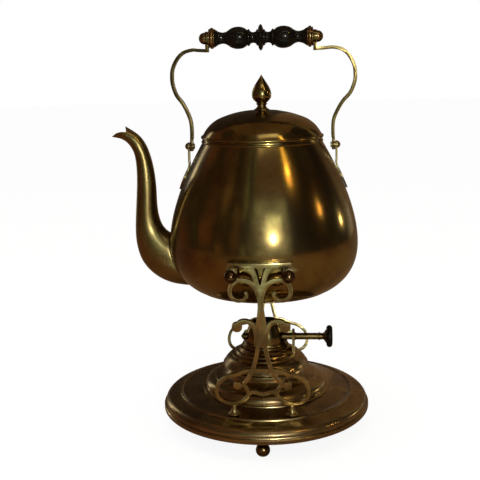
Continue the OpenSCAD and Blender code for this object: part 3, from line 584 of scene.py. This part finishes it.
# %% Turn the base
SHEET = 1.2
base_r, base_low, seat_z = heights("base_plate")
edge_top = base_low + 4
flat_z = edge_top + 10.9
bead_r = base_r - 16
seat_r = 55
base_line = (
    placed(base_r, edge_top, [(-0.5, -4), (0, -3.5), (0, -0.7), (-0.7, 0), (-1.7, 0.2), (-2, 0.9)]
           + cubic((-1.6, 1.3), (-1.2, 4.6), (-4.2, 7), (-8, 7.8), 16)
           + cubic((-9.6, 8.3), (-12, 8.8), (-13.4, 9.3), (-14.8, 10), 8))
    + ridge(bead_r, flat_z - 0.15, 1, 0.5)
    + cubic((bead_r - 1.6, flat_z - 0.2), (bead_r - 8, flat_z + 0.3), (seat_r + 6, seat_z - 0.3),
            (seat_r - 3, seat_z), 12))
base = turn("spun_base", sheet(base_line, SHEET), sides=160)
finish_piece(base, "stand", base_brass, ["base_plate"])
print("base", round(base_r * 2), "mm across")

# %% [markdown]
# Three balls carry the base. Each is a sphere on a short stem with a washer against the sheet,
# all turned in one outline, then copied round the circle at thirds.

# %% Turn the feet
BALL, BALL_FLAT, STEM_R = 11.9, 0.4, 2.975
FOOT_CIRCLE = 80
foot_top = heights("ball_feet")[2]
ball_z = BALL / 2 - BALL_FLAT
foot_outline = (
    [(0, 0)] + arc(BALL / 2, ball_z, math.asin(-ball_z / (BALL / 2)), math.acos(STEM_R / (BALL / 2)))
    + placed(0, foot_top, [(STEM_R, -2.4), (BALL * 0.34, -2.1), (BALL * 0.4, -1.6), (BALL * 0.4, 0), (0, 0)]))
foot = turn("ball_foot", foot_outline, sides=48)
feet = copies(foot, "ball_foot", [((FOOT_CIRCLE * math.cos(a), FOOT_CIRCLE * math.sin(a), 0), (0, 0, 0))
                                  for a in (math.radians(k) for k in (-90, 30, 150))])
finish_piece(feet, "stand", kettle_brass, ["ball_feet"])

# %% [markdown]
# ## The lamp seat and the spirit lamp
# The seat is a moulded foot that holds the lamp. Its sweeps are steep, so they get more points.
# The font above it is closed by a domed cap with two steps, and the burner's collar sits on that.

# %% Turn the lamp seat
seat_top = heights("lamp_seat")[2]
seat_h = seat_top - seat_z
throat_r = 33
seat_line = (
    placed(seat_r, seat_z, [(1.5, 0.02), (1.8, 0.3), (1.6, 0.9), (0, 1.2)]
           + cubic((-0.8, 1.4), (-0.4, 5.5), (-4, seat_h * 0.5), (-9, seat_h * 0.53), 16)
           + bead(-9.9, seat_h * 0.57, 0.7, 0.5, 60, 6))
    + cubic((seat_r - 10.8, seat_z + seat_h * 0.6), (seat_r - 15, seat_z + seat_h * 0.62),
            (throat_r + 2.5, seat_top - 4.5), (throat_r + 0.5, seat_top), 16))
seat = turn("lamp_seat_spun", sheet(seat_line, SHEET), sides=128)
finish_piece(seat, "stand", base_brass, ["lamp_seat"])

# %% Turn the font, its cap and the collar
font_r, _, collar_z = heights("font_cap")
lip_z = seat_top + 4
font_h = collar_z - lip_z
collar_r, _, cone_z = heights("burner_collar")
cone_z += 0.02
bowl_low = heights("font_bowl")[1]
bowl_line = (
    placed(0, bowl_low, cubic((0, 0), (8, 0), (12, 0), (18, 0), 4))
    + cubic((throat_r - 9, bowl_low), (throat_r - 3, bowl_low), (throat_r - 1, bowl_low + 3),
            (throat_r - 1, bowl_low + 7), 12)
    + cubic((throat_r - 1, seat_top + 0.8), (throat_r + 0.6, seat_top + 1.1), (font_r - 3.6, lip_z - 3),
            (font_r - 2.4, lip_z - 1.8), 10))
bowl = turn("font_bowl_spun", sheet(bowl_line, SHEET))
finish_piece(bowl, "lamp", base_brass, ["font_bowl"])
cap_line = placed(font_r, lip_z, (
    [(-1.4, -1.6)] + bead(-0.8, -0.3, 0.8, 0.8, 80, 10)
    + cubic((-0.9, 0.9), (-2.2, 3.4), (-4.4, font_h * 0.44), (-7, font_h * 0.5), 14)
    + [(-7.5, font_h * 0.52)] + bead(-8.3, font_h * 0.57, 0.7, 0.6, 60, 6)
    + cubic((-9.4, font_h * 0.62), (-10.6, font_h * 0.64), (-11.6, font_h * 0.68), (-12, font_h * 0.76), 8)
    + cubic((-12.6, font_h * 0.79), (-14.8, font_h * 0.82), (-14.8, font_h * 0.95),
            (collar_r + 0.6 - font_r, font_h), 8)
    + [(collar_r - 2 - font_r, font_h)]))
cap = turn("font_cap_spun", sheet(cap_line, SHEET), sides=128)
finish_piece(cap, "lamp", base_brass, ["font_cap"])
inner_r = 15.1
collar_outline = (
    [(inner_r, collar_z + 0.02)]
    + placed(collar_r, collar_z, [(-0.7, 0.02)] + bead(-0.7, 1.4, 0.7, 1.2, 75, 12))
    + cubic((collar_r - 0.9, collar_z + 2.7), (collar_r - 1.4, collar_z + 3), (19.1, cone_z - 1.6),
            (18.5, cone_z - 0.04), 8)
    + [(inner_r, cone_z - 0.04)])
collar = turn("burner_collar_turned", collar_outline)
finish_piece(collar, "lamp", trim_brass, ["burner_collar"])
print("font, cap and collar turned; the collar is", round(collar_r * 2, 1), "mm across")

# %% [markdown]
# The burner cone is thin sheet with a hole on each side, through which the winder's bushes pass.
# The cone is turned first and drilled afterwards, as in the workshop. The wick is a flat tube's
# worth of woven cotton, whose top edge is a little uneven where it has burned.

# %% Turn and drill the burner cone
cone_r, _, cone_top = heights("burner_cone")
cone_h = cone_top - cone_z
cone_mouth = 13.3
winder_low, winder_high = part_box("winder_knob")
_, winder_y, winder_z = centre_of("winder_knob")
cone_line = ([(cone_r, cone_z), (cone_r, cone_z + 1)]
             + cubic((cone_r - 0.1, cone_z + 1.6), (cone_r - 0.2, cone_z + cone_h * 0.5),
                     (cone_mouth + 1.6, cone_top - cone_h * 0.35), (cone_mouth + 0.2, cone_top - 0.3), 20)
             + [(cone_mouth, cone_top)])
cone = turn("burner_cone_turned", sheet(cone_line, 0.9), sides=112)
drill(cone, (cone_r, winder_y, winder_z), 3.5, 20, (0, 90, 0))
drill(cone, (-cone_r, winder_y, winder_z), 2.7, 20, (0, 90, 0))
smooth(cone)
finish_piece(cone, "lamp", kettle_brass, ["burner_cone"])

# %% Weave the wick
wick_low, wick_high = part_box("wick")
only(None)
bpy.ops.mesh.primitive_cube_add(size=1, location=(wick_low + wick_high) / 2, scale=wick_high - wick_low)
wick = settle(named("wick_woven"))
edit_all()
bpy.ops.mesh.subdivide(number_cuts=9)
bpy.ops.mesh.bevel(offset=0.15 * MM, segments=1)
only(wick)
for vertex in wick.data.vertices:
    if vertex.co.z > wick_high.z - 0.4 * MM:
        vertex.co.z -= 0.35 * MM * (1 + math.sin(vertex.co.x / MM * 2.1) * math.cos(vertex.co.x / MM * 0.9))
wick_cotton = make_cotton(wick_high.z - 0.006, wick_high.z)
smooth(wick, 50)
finish_piece(wick, "wick", wick_cotton, ["wick"])
print("wick", round((wick_high.x - wick_low.x) / MM, 1), "mm wide")

# %% [markdown]
# ## The winder
# A rod raises the wick. Outside the burner it is thick and polished, with a collar at each end of
# its bearing, then a trumpet-shaped ferrule and a black knob like a small wheel. It is turned
# upright and then laid along X. Its Z axis becomes X, so (0, 90, 0) is the turning.

# %% Turn the winder
along_x = (0, 90, 0)
rod_low, rod_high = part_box("winder_rod")
rod_start, rod_stop = rod_low.x / MM, rod_high.x / MM
knob_start, knob_stop = winder_low.x / MM, winder_high.x / MM
post_x = 25.3
thick_from = cone_r - 0.4 - 2.2
rod_outline = (
    [(0, rod_start), (1.0, rod_start), (1.3, rod_start + 0.3), (1.3, thick_from), (2.8, thick_from),
     (3, thick_from + 0.2), (3, post_x + 1.1)]
    + [(3.4, post_x + 1.1)] + bead(3.2, post_x + 1.6, 0.4, 0.5, 80, 6) + [(3, post_x + 2.1)]
    + [(3, knob_start - 6.6)] + bead(3.1, knob_start - 5.9, 0.5, 0.7, 80, 8)
    + [(3, knob_start - 5.2), (3, rod_stop - 0.3), (2.8, rod_stop), (0, rod_stop)])
rod = turn("winder_rod_turned", rod_outline, sides=48)
stand_at(rod, (0, winder_y, winder_z), along_x)
finish_piece(rod, "winder", trim_brass, ["winder_rod"])
ferrule_outline = (
    [(0, -2.98), (2.6, -2.98)]
    + cubic((2.9, -2.8), (3.3, -1.4), (4.4, -1.1), (5.0, -0.8), 8)
    + bead(4.9, -0.42, 0.5, 0.4, 80, 6) + [(4.6, -0.02), (0, -0.02)])
ferrule = turn("knob_ferrule_turned", ferrule_outline, sides=48)
stand_at(ferrule, (knob_start, winder_y, winder_z), along_x)
finish_piece(ferrule, "winder", trim_brass, ["winder_ferrule"])
knob_r, knob_t = (winder_high.z - winder_low.z) / 2 / MM, knob_stop - knob_start
knob_outline = (
    [(0, 0), (knob_r * 0.6, 0), (knob_r * 0.68, 0.4), (knob_r * 0.72, 0.5)]
    + bead(knob_r - knob_t * 0.4, knob_t / 2, knob_t * 0.4, knob_t * 0.43, 88, 20)
    + [(knob_r * 0.72, knob_t - 0.6), (knob_r * 0.66, knob_t - 0.9), (knob_r * 0.4, knob_t - 0.5),
       (0, knob_t - 0.32)])
knob = turn("winder_knob_turned", knob_outline, sides=64)
stand_at(knob, (knob_start, winder_y, winder_z), along_x)
finish_piece(knob, "winder", black_wood, ["winder_knob"])
print("winder turned, knob", round(knob_r * 2, 1), "mm across")

# %% [markdown]
# ## The stand's arms and pins
# The arms are flat castings, so their outline is everything, and the CAD model already has it. A
# merged copy gets a narrow bevel on every sharp edge, which is what catches the light on a real
# casting. The studs under them are trumpets, turned once and copied to their four places.

# %% Soften the arms
finish_castings(("front_arm", "back_arm"), "_cast", 0.45, "stand", cast_brass, 3)

# %% Turn the studs
stud_low_point, stud_high_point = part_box("arm_studs")
stud_low, stud_high = stud_low_point.z / MM, stud_high_point.z / MM
STUD_FOOT, STUD_NECK = 5.0, 2.1
stud_x = stud_high_point.x / MM - STUD_FOOT
stud_y = stud_high_point.y / MM - STUD_FOOT
stud_outline = (
    placed(0, stud_low, [(0, 0), (STUD_FOOT - 0.2, 0), (STUD_FOOT, 0.2), (STUD_FOOT, 0.6)])
    + cubic((STUD_FOOT - 0.3, stud_low + 0.9), (3.2, stud_low + 1.4), (STUD_NECK, stud_low + 3.4),
            (STUD_NECK, stud_high - 1.7), 14)
    + bead(STUD_NECK, stud_high - 0.9, 0.5, 0.7, 80, 8) + [(STUD_NECK + 0.2, stud_high), (0, stud_high)])
stud = turn("arm_stud", stud_outline, sides=40)
drill(stud, (0, 0, stud_low), 1.52, 8)
studs = copies(smooth(stud), "arm_studs_turned", [
    ((x, y, 0), (0, 0, 0)) for x in (-stud_x, stud_x) for y in (-stud_y, stud_y)])
finish_piece(studs, "stand", cast_brass, ["arm_studs"])
print("studs at", round(stud_x, 1), round(stud_y, 1), "mm")

# %% Turn the pins with their balls
PIN_R, PIN_BALL = 2.0, 5.3
pin_x, _, pin_z = centre_of("rest_pins")
ball_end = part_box("rest_pins")[1].y / MM
ball_centre = ball_end - PIN_BALL
pin_start = heights("kettle_body")[0] + 0.2
washer = ball_centre - PIN_BALL - 1.2
pin_outline = (
    placed(0, pin_start, [(0, 0), (PIN_R - 0.2, 0), (PIN_R, 0.2)])
    + placed(0, washer, [(PIN_R, 0), (3, 0), (3.2, 0.2), (3.2, 0.8), (3, 1), (PIN_R, 1)])
    + arc(PIN_BALL, ball_centre, -math.acos(PIN_R / PIN_BALL))[:-1] + [(0, ball_end)])
pin = turn("kettle_pin", pin_outline, sides=48)
rest_pins = copies(pin, "rest_pins_turned", [((pin_x, 0, pin_z), (tip, 0, 0)) for tip in (-90, 90)])
pivot_pins = stand_at(duplicate(rest_pins, "pivot_pins_turned"), (-2 * pin_x, 0, 0))
finish_piece(rest_pins, "stand", painted_dark_pin_brass, ["rest_pins"])
finish_piece(pivot_pins, "stand", painted_dark_pin_brass, ["pivot_pins"])
print("pins at", round(pin_x, 1), "mm, balls", round(PIN_BALL * 2, 1), "mm")

# %% [markdown]
# ## The kettle
# The body is spun from one sheet. Its outline is one cubic from the bottom to the widest part and
# one from there to the neck, with the same direction where they meet, so that reflections run
# through without a break. It is the largest mirror on the object, so it gets the most sides.

# %% Turn the body, bottom and neck
WALL = 1.2
BELLY_SHARE, SPOUT_DROP = 0.314, 15.5  # share of the height; millimetres below the belly
kettle_r, body_z, neck_z = heights("kettle_body")
bottom_r, kettle_z, _ = heights("kettle_bottom")
bottom_r -= 0.8
belly_z = kettle_z + (neck_z - kettle_z) * BELLY_SHARE
neck_r = 51.3
shoulder_r = bottom_r + 4
lower = cubic((shoulder_r, body_z),
              (shoulder_r + (kettle_r - shoulder_r) * 0.6, body_z + (belly_z - body_z) * 0.2),
              (kettle_r, body_z + (belly_z - body_z) * 0.52), (kettle_r, belly_z), 30)
upper = cubic((kettle_r, belly_z), (kettle_r, belly_z + (neck_z - belly_z) * 0.32),
              (neck_r + (kettle_r - neck_r) * 0.493, belly_z + (neck_z - belly_z) * 0.702),
              (neck_r, neck_z), 48)
body_line = lower + upper[1:]
outline = [(0, body_z)] + body_line + beside(body_line, WALL)[::-1] + [(0, body_z + WALL)]
body = turn("kettle_body_spun", outline, sides=192)


def body_at(level):
    """Radius of the body at a level."""
    for (r0, z0), (r1, z1) in zip(body_line, body_line[1:]):
        if z0 <= level <= z1:
            return r0 + (r1 - r0) * (level - z0) / (z1 - z0)
    return body_line[0][0] if level < body_line[0][1] else body_line[-1][0]


# Strainer holes behind the spout keep tea leaves or scale out of it
spout_z = belly_z - SPOUT_DROP
HOLES = [(0, 0)] + [(8 * math.sin(math.radians(a)), 9 * math.cos(math.radians(a)))
                    for a in range(0, 360, 60)]
for across, up in HOLES:
    drill(body, (-kettle_r, across, spout_z + up), 2.5, 40, along_x)
smooth(body, 30)
finish_piece(body, "kettle", kettle_brass, ["kettle_body"])
print("body", round(kettle_r * 2, 1), "mm across")

# %% Turn the bottom plate and the neck ring
plate_outline = (
    [(0, kettle_z + 0.8)]
    + placed(bottom_r, kettle_z, [(-6, 0.8)] + cubic((-5.6, 0.8), (-5.2, 0.2), (-5, 0), (-4.4, 0), 5)
             + [(-0.9, 0)] + bead(-0.9, 0.9, 0.9, 0.9, 85, 8))
    + placed(bottom_r, body_z, [(0, -0.6)] + cubic((0, -0.5), (0.1, -0.2), (0.4, -0.1), (0.8, -0.03), 5))
    + [(0, body_z - 0.03)])
plate = turn("kettle_bottom_spun", plate_outline, sides=128)
finish_piece(plate, "kettle", kettle_brass, ["kettle_bottom"])
neck_top = heights("neck_ring")[2]
neck_in = neck_r - WALL - 0.6
neck_outline = (
    [(neck_in, neck_z + 0.02)]
    + placed(neck_r, neck_z, [(0.2, 0.02)] + bead(0.1, 0.9, 0.6, 0.8, 75, 12) + [(-0.2, 1.85), (-0.3, 2.1)])
    + [(neck_r - 0.3, neck_top - 0.2), (neck_r - 0.5, neck_top), (neck_in + 0.2, neck_top),
       (neck_in, neck_top - 0.2)])
neck = turn("neck_ring_turned", neck_outline, sides=160)
finish_piece(neck, "kettle", kettle_brass, ["neck_ring"])
print("bottom and neck turned")

# %% [markdown]
# ## The spout
# The spout is a swan neck whose section changes from a tall oval at the body to a small round
# beak. The CAD model gives it as rings of points. A merged copy is turned from triangles back to
# four-sided faces, and a subdivision surface then runs smoothly through its rings. Creases hold
# the thin lip and the seat. A bead of solder closes the seam where the spout meets the body.

# %% Smooth the spout
spout = softened("spout", "spout_raised", width=0)
edit_all()
bpy.ops.mesh.tris_convert_to_quads(face_threshold=math.radians(60), shape_threshold=math.radians(60))
bpy.ops.mesh.select_all(action="DESELECT")
bpy.ops.mesh.edges_select_sharp(sharpness=math.radians(70))
bpy.ops.transform.edge_crease(value=0.75)
only(spout)
spout.modifiers.new("round", "SUBSURF").levels = 2
spout.modifiers["round"].render_levels = 2
apply_all(spout)
smooth(spout, 60)
finish_piece(spout, "kettle", spout_brass, ["spout"])

# %% Solder the spout's seat
SEAT_HALF_W, SEAT_HALF_H, SOLDER = 15.2, 24.2, 0.55
only(None)
bpy.ops.mesh.primitive_circle_add(vertices=72, radius=1, rotation=(0, math.radians(90), 0))
solder = settle(named("spout_solder"))
edit_all()
bpy.ops.transform.resize(value=(1, SEAT_HALF_W * MM, SEAT_HALF_H * MM))
only(solder)
for vertex in solder.data.vertices:
    vertex.co.z += spout_z * MM
    radius = body_at(vertex.co.z / MM) * MM
    vertex.co.x = -math.sqrt(radius ** 2 - vertex.co.y ** 2)
bpy.ops.object.convert(target="CURVE")
solder.data.bevel_depth = SOLDER * MM
solder.data.bevel_resolution = 4
bpy.ops.object.convert(target="MESH")
solder = smooth(bpy.context.active_object, 80)
finish_piece(solder, "kettle", trim_brass, [])

# %% [markdown]
# ## Brackets, ears and rivets
# The brackets that hang the kettle on its pins, the ears of the bail and the bail's straps are
# castings and bent strip. They keep their CAD shape, with softened edges. The rivets are turned.

# %% Soften brackets and ears
finish_castings(("front_bracket", "back_bracket"), "_cast", 0.4, "kettle", cast_brass)
finish_castings(("left_ear", "right_ear"), "_cast", 0.3, "kettle", cast_brass)

# %% Turn the rivets
pivot_z = centre_of("bail_rivets").z
rivet_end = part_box("bail_rivets")[1].x / MM
strap_in = neck_r + 8
EAR_OUT = strap_in + 2.8 + 0.3 + 1.6 + 0.02
dome_r, dome_c = 3.1, EAR_OUT - 0.6
rivet_outline = (
    placed(0, strap_in, [(0, -1.2), (2.3, -1.2), (2.5, -1), (2.5, -0.5), (2.3, -0.3), (1.6, -0.3)])
    + [(1.6, EAR_OUT)] + arc(dome_r, dome_c, math.asin(0.6 / dome_r), steps=12)[:-1] + [(0, rivet_end)])
rivet = turn("bail_rivet", rivet_outline, sides=40)
rivets = copies(rivet, "bail_rivets_turned", both_ends(0, pivot_z))
finish_piece(rivets, "kettle", cast_brass, ["bail_rivets"])
print("rivets at", round(pivot_z, 1), "mm")

# %% [markdown]
# ## The lid
# The lid is a low dome with a rolled rim and a steam hole, and a flange below that keeps it on.
# The finial is a turned bud on a waisted foot. The lid lifts straight off; it has no hinge.

# %% Turn the lid
_, lid_z, dome_top = heights("lid_dome")
dome_z = lid_z + 2.5
dome_h = dome_top - dome_z
dome_line = placed(neck_r, dome_z, (
    [(0.4, -2.5)] + bead(0.1, -1.25, 0.9, 1.2, 75, 12)
    + cubic((-0.5, 0), (-4, dome_h * 0.33), (-8, dome_h * 0.5), (-13, dome_h * 0.64), 20)
    + cubic((-13.6, dome_h * 0.655), (-25, dome_h * 0.9), (-36, dome_h), (5 - neck_r, dome_h), 24)))
inside = beside(dome_line, WALL)[13:][::-1]
dome = turn("lid_dome_spun", dome_line + [(2.05, dome_top), (2.05, dome_top - WALL)] + inside
            + [(neck_r - 1.8, lid_z)], sides=160)
drill(dome, (-23, -8, dome_top - 6), 1.1, 16)
smooth(dome, 30)
finish_piece(dome, "lid", kettle_brass, ["lid_dome"])
flange_r = neck_in - 0.3
_, flange_low, flange_high = heights("lid_flange")
flange = turn(
    "lid_flange_spun", placed(flange_r, flange_low, [(-1, 0.2), (-0.8, 0), (-0.2, 0), (0, 0.2)])
    + [(flange_r, flange_high - 0.3), (neck_r - 1.9, flange_high - 0.1), (neck_r - 1.9, flange_high),
       (flange_r - 1, flange_high)], sides=128)
finish_piece(flange, "lid", base_brass, ["lid_flange"])
print("lid rim", round(neck_r * 2, 1), "mm across")

# %% Turn the finial
finial_top = heights("finial")[2]
f0 = dome_top + 0.02
f_h = finial_top - f0
finial_outline = [(0, dome_top - 8), (1.8, dome_top - 8), (2, dome_top - 7.8)] + placed(0, f0, (
    [(2, 0), (6.3, 0)] + bead(6.2, 0.35, 0.4, 0.34, 85, 6)
    + cubic((6.1, 0.9), (4.6, 1.4), (3.8, 2.6), (3.65, 4), 12) + bead(4.1, 5.1, 0.8, 0.55, 75, 10)
    + cubic((4.1, 5.9), (6.2, 8), (8.2, f_h * 0.31), (8.25, f_h * 0.42), 18)
    + cubic((8.25, f_h * 0.45), (8.0, f_h * 0.64), (3.4, f_h * 0.8), (0.4, f_h * 0.985), 24)
    + [(0, f_h)]))
finial = turn("finial_turned", finial_outline, sides=72)
finish_piece(finial, "lid", kettle_brass, ["finial"])
print("finial", round(f_h, 1), "mm tall")

# %% [markdown]
# ## The bail
# Two bent straps swing on the rivets. A rod through their tops carries the black turned grip
# between two ringed ferrules, and domed nuts close the ends.

# %% Soften the straps
finish_castings(("left_strap", "right_strap"), "_bent", 0.5, "bail", strap_brass, 3)

# %% Turn the grip, ferrules and nuts
grip_z = centre_of("grip").z
half_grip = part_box("grip")[1].x / MM
R = 9.3  # the grip's thickness is given in shares of this radius
half_outline = (
    cubic((R * 1.16, 0), (R * 1.16, 0.9), (R * 0.94, 1.9), (R * 0.72, 2.2), 10)
    + [(R * 0.7, 3.4)]
    + cubic((R * 0.56, 3.9), (R * 0.44, 5.4), (R * 0.44, 7.6), (R * 0.6, 8.9), 12)
    + bead(R * 0.66, 10.1, 0.8, 1.0, 80, 10)
    + cubic((R * 0.66, 11.3), (R * 0.98, 13.6), (R * 1.09, 19.5), (R * 0.86, 24.4), 20)
    + cubic((R * 0.8, 25.5), (R * 0.6, 28), (R * 0.48, 29.4), (R * 0.5, 32.5), 14)
    + cubic((R * 0.53, 33.5), (R * 0.58, 36), (R * 0.72, 37), (R * 0.78, half_grip - 0.3), 10)
    + [(R * 0.76, half_grip)])
bore = 2.06
grip = turn("grip_turned", [(r, -x) for r, x in half_outline[::-1]] + half_outline[1:]
            + [(bore, half_grip), (bore, -half_grip)], sides=80)
stand_at(grip, (0, 0, grip_z), along_x)
finish_piece(grip, "bail", black_wood, ["grip"])
FERRULE_R = 8.7
ferrule_l = 5.2
ferrule_rings = (
    [(2.02, 0.02), (FERRULE_R - 1.4, 0.02)] + bead(FERRULE_R - 1.3, 0.5, 0.35, 0.4, 75, 6)
    + bead(FERRULE_R - 0.9, ferrule_l * 0.47, 0.9, 1.35, 75, 12)
    + [(FERRULE_R - 1.5, ferrule_l - 1.2)] + bead(FERRULE_R - 1.4, ferrule_l - 0.6, 0.5, 0.5, 75, 8)
    + [(FERRULE_R - 1.8, ferrule_l - 0.02), (2.02, ferrule_l - 0.02)])
ringed = turn("grip_ferrule", ferrule_rings, sides=64)
ferrules = copies(ringed, "grip_ferrules_turned", both_ends(half_grip, grip_z))
finish_piece(ferrules, "bail", nut_brass, ["ferrules"])
nut_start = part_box("grip_nuts")[1].x / MM - 5.45
dome_nut = 4.85
nut_outline = ([(2.02, 0)] + arc(dome_nut, 0.6, math.asin(-0.6 / dome_nut), steps=16)[:-1]
               + [(0, 5.45), (0, 3.8), (2.02, 3.8)])
nut = turn("dome_nut", nut_outline, sides=48)
nuts = copies(nut, "dome_nuts_turned", both_ends(nut_start, grip_z))
finish_piece(nuts, "bail", nut_brass, ["grip_nuts"])
print("grip", round(2 * half_grip, 1), "mm long")

# %% [markdown]
# ## What stays as the CAD model has it
# Small fittings inside the lamp, under the base and under the lid are right as they are. They
# only need a finish, given through their object's own material slot.

# %% Finish the other CAD nodes
KEPT = {node: trim_brass for node in (
    "stud_screws", "winder_bosses", "wick_tube", "spur_wheels", "finial_nut", "grip_rod")}
KEPT["shaft_post"] = cast_brass
for node, material in KEPT.items():
    part = frame["nodes"][node]
    if not part.material_slots:
        part.data.materials.append(material)
    for slot in part.material_slots:
        slot.link = "OBJECT"
        slot.material = material
print("kept:", sorted(KEPT))

# %% [markdown]
# ## Floor, backdrop and light
# Polished metal looks like what stands round it. The floor and the surroundings are white to the
# camera, and to reflections. Painted cards stand between them and the object, seen only in
# reflections, as a photographer would hang them: brown ones make the metal deep, a pale one in
# front lays a soft glow on it, and narrow gaps on the left and at the back draw bright lines. The
# card that fills the gap on the right is a little paler than its neighbours.

# %% Floor and world
def seen_directly(tree):
    """1 for rays from the camera, from reflections and through glass, 0 for others."""
    path = add(tree, "ShaderNodeLightPath")
    total = calculate(tree, "ADD", path.outputs["Is Camera Ray"], path.outputs["Is Glossy Ray"])
    total = calculate(tree, "ADD", total, path.outputs["Is Transmission Ray"])
    return calculate(tree, "MINIMUM", total, 1)


world = bpy.data.worlds.new("white_room")
bpy.context.scene.world = world
world.use_nodes = True
tree = world.node_tree
background = tree.nodes["Background"]
ROOM_LIGHT = 0.55
strength = add(tree, "ShaderNodeMapRange", Value=seen_directly(tree), To_Min=ROOM_LIGHT, To_Max=1)
give(background, Color=(1, 1, 1, 1), Strength=strength.outputs[0])

only(None)
bpy.ops.mesh.primitive_circle_add(vertices=64, radius=6, fill_type="NGON")
floor = named("floor")
floor_material, tree, paper = new_material("white_floor")
give(paper, Base_Color=(0.9, 0.9, 0.9, 1), Roughness=0.9)
glow = add(tree, "ShaderNodeEmission", Strength=1.06)
FLOOR_GLOW = 0.85
blend = add(tree, "ShaderNodeMixShader")
sources = calculate(tree, "MULTIPLY", seen_directly(tree), FLOOR_GLOW), paper.outputs[0], glow.outputs[0]
for into, source in zip(blend.inputs, sources):
    feed(into, source)
give(tree.nodes["Material Output"], Surface=blend.outputs[0])
floor.data.materials.append(floor_material)

# %% Painted cards
ROOM, TOP = 1.6, 2.6  # distance of the cards from the middle, and their height, in metres
DEEP, DARK, BROWN = (0.025, 0.018, 0.012), (0.055, 0.036, 0.02), (0.22, 0.13, 0.06)
RED, OLIVE, PALE = (0.19, 0.07, 0.028), (0.31, 0.36, 0.24), (0.72, 0.84, 0.8)


def card(name, place, turned, size, first, second):
    """A card for reflections only, painted with soft patches of two colours."""
    only(None)
    bpy.ops.mesh.primitive_plane_add(size=1, location=place, rotation=turned)
    plane = named(name)
    plane.scale = (*size, 1)
    material, tree, paper = new_material(name)
    across = add(tree, "ShaderNodeTexCoord").outputs["Generated"]
    patches = add(tree, "ShaderNodeTexNoise", Vector=across, Scale=2.5, Detail=2)
    paint = add_ramp(tree, patches.outputs["Fac"], (first, second), (0.4, 0.6))
    give(paper, Base_Color=paint, Roughness=1)
    plane.data.materials.append(material)
    for ray in ("camera", "diffuse", "shadow", "transmission"):
        setattr(plane, "visible_" + ray, False)


# Azimuths in degrees from the camera's side, positive to its right; heights in metres
WALLS = {"left_wall": (-128, -60, 0, TOP, DARK, RED), "left_front": (-60, -26, 0, TOP, DARK, BROWN),
         "green_wall": (-26, -10, 0, TOP, DARK, OLIVE), "glow_wall": (-10, 34, 0, 1.3, OLIVE, PALE),
         "glow_top": (-10, 34, 1.3, TOP, BROWN, BROWN), "right_front": (34, 84, 0, TOP, DEEP, DARK),
         "right_wall": (84, 124, 0, TOP, DEEP, DARK), "back_right": (136, 176, 0, TOP, BROWN, BROWN),
         "back_left": (180, 224, 0, TOP, DARK, DARK), "right_gap": (124, 136, 0, TOP, BROWN, OLIVE),
         "left_gap_top": (-136, -128, 0.9, TOP, DARK, DARK), "back_gap_top": (176, 180, 0.4, TOP, DARK, DARK)}
for name, (start, end, low, high, first, second) in WALLS.items():
    middle, half = math.radians((start + end) / 2), math.radians(end - start) / 2
    card(name, (ROOM * math.sin(middle), -ROOM * math.cos(middle), (low + high) / 2),
         (math.radians(90), 0, middle), (2 * ROOM * math.tan(half), high - low), first, second)
card("ceiling", (0, 0, TOP), (0, 0, 0), (4, 4), BROWN, BROWN)
# The two cards on the floor are seen only in reflections. The brown-red one paints a dark reflection of the
# floor under the whole object, where the white floor would show. The pale one in front paints a pale patch
# into the reflections of the lower parts.
card("table", (0, 0, 0.002), (0, 0, 0), (4, 4), BROWN, RED)
card("table_cloth", (0.03, -0.5, 0.004), (0, 0, 0), (0.4, 0.44), OLIVE, PALE)
print("cards:", sorted(WALLS))

# %% Soft lamps
def soft_lamp(name, place, size, power, colour=(1, 1, 1)):
    """An area lamp that looks at the middle of the kettle."""
    lamp = bpy.data.lights.new(name, "AREA")
    lamp.shape, lamp.size, lamp.size_y = "RECTANGLE", size[0], size[1]
    lamp.energy, lamp.color = power, colour
    holder = bpy.data.objects.new(name, lamp)
    bpy.context.scene.collection.objects.link(holder)
    holder.location = place
    holder.rotation_euler = (Vector((0, 0, 0.18)) - Vector(place)).to_track_quat("-Z", "Y").to_euler()
    return holder


AMBER, CANDLE = (1, 0.66, 0.18), (1, 0.66, 0.25)
soft_lamp("key_lamp", (0.36, -1.51, 0.45), (0.08, 0.08), 5, (1, 0.98, 0.92))
soft_lamp("glow_lamp", (0.36, -1.48, 0.62), (0.55, 0.5), 2, (0.85, 1, 0.95))
soft_lamp("amber_lamp", (0.86, -0.8, 1.2), (0.04, 0.12), 1.1, AMBER)
soft_lamp("amber_tail", (0.8, -0.74, 1.42), (0.05, 0.36), 0.5, AMBER)
soft_lamp("candle_lamp", (1.46, -0.25, 0.69), (0.04, 0.08), 0.5, CANDLE)
soft_lamp("right_glint", (1.39, 0.56, 0.32), (0.05, 0.08), 0.5, (1, 0.85, 0.5))
soft_lamp("left_line", (-1.15, 0.96, 0.4), (0.05, 1.0), 0.6, (0.9, 0.9, 0.5))
soft_lamp("rim_lamp", (1.1, 1.15, 0.14), (0.35, 0.24), 0.08, (1, 0.95, 0.85))
soft_lamp("high_lamp", (0.25, -0.75, 1.5), (0.8, 0.25), 0.8, (1, 0.95, 0.8))
sky = soft_lamp("sky_lamp", (-0.3, -0.2, 1.9), (1.2, 1.2), 8)
sky.visible_glossy = False
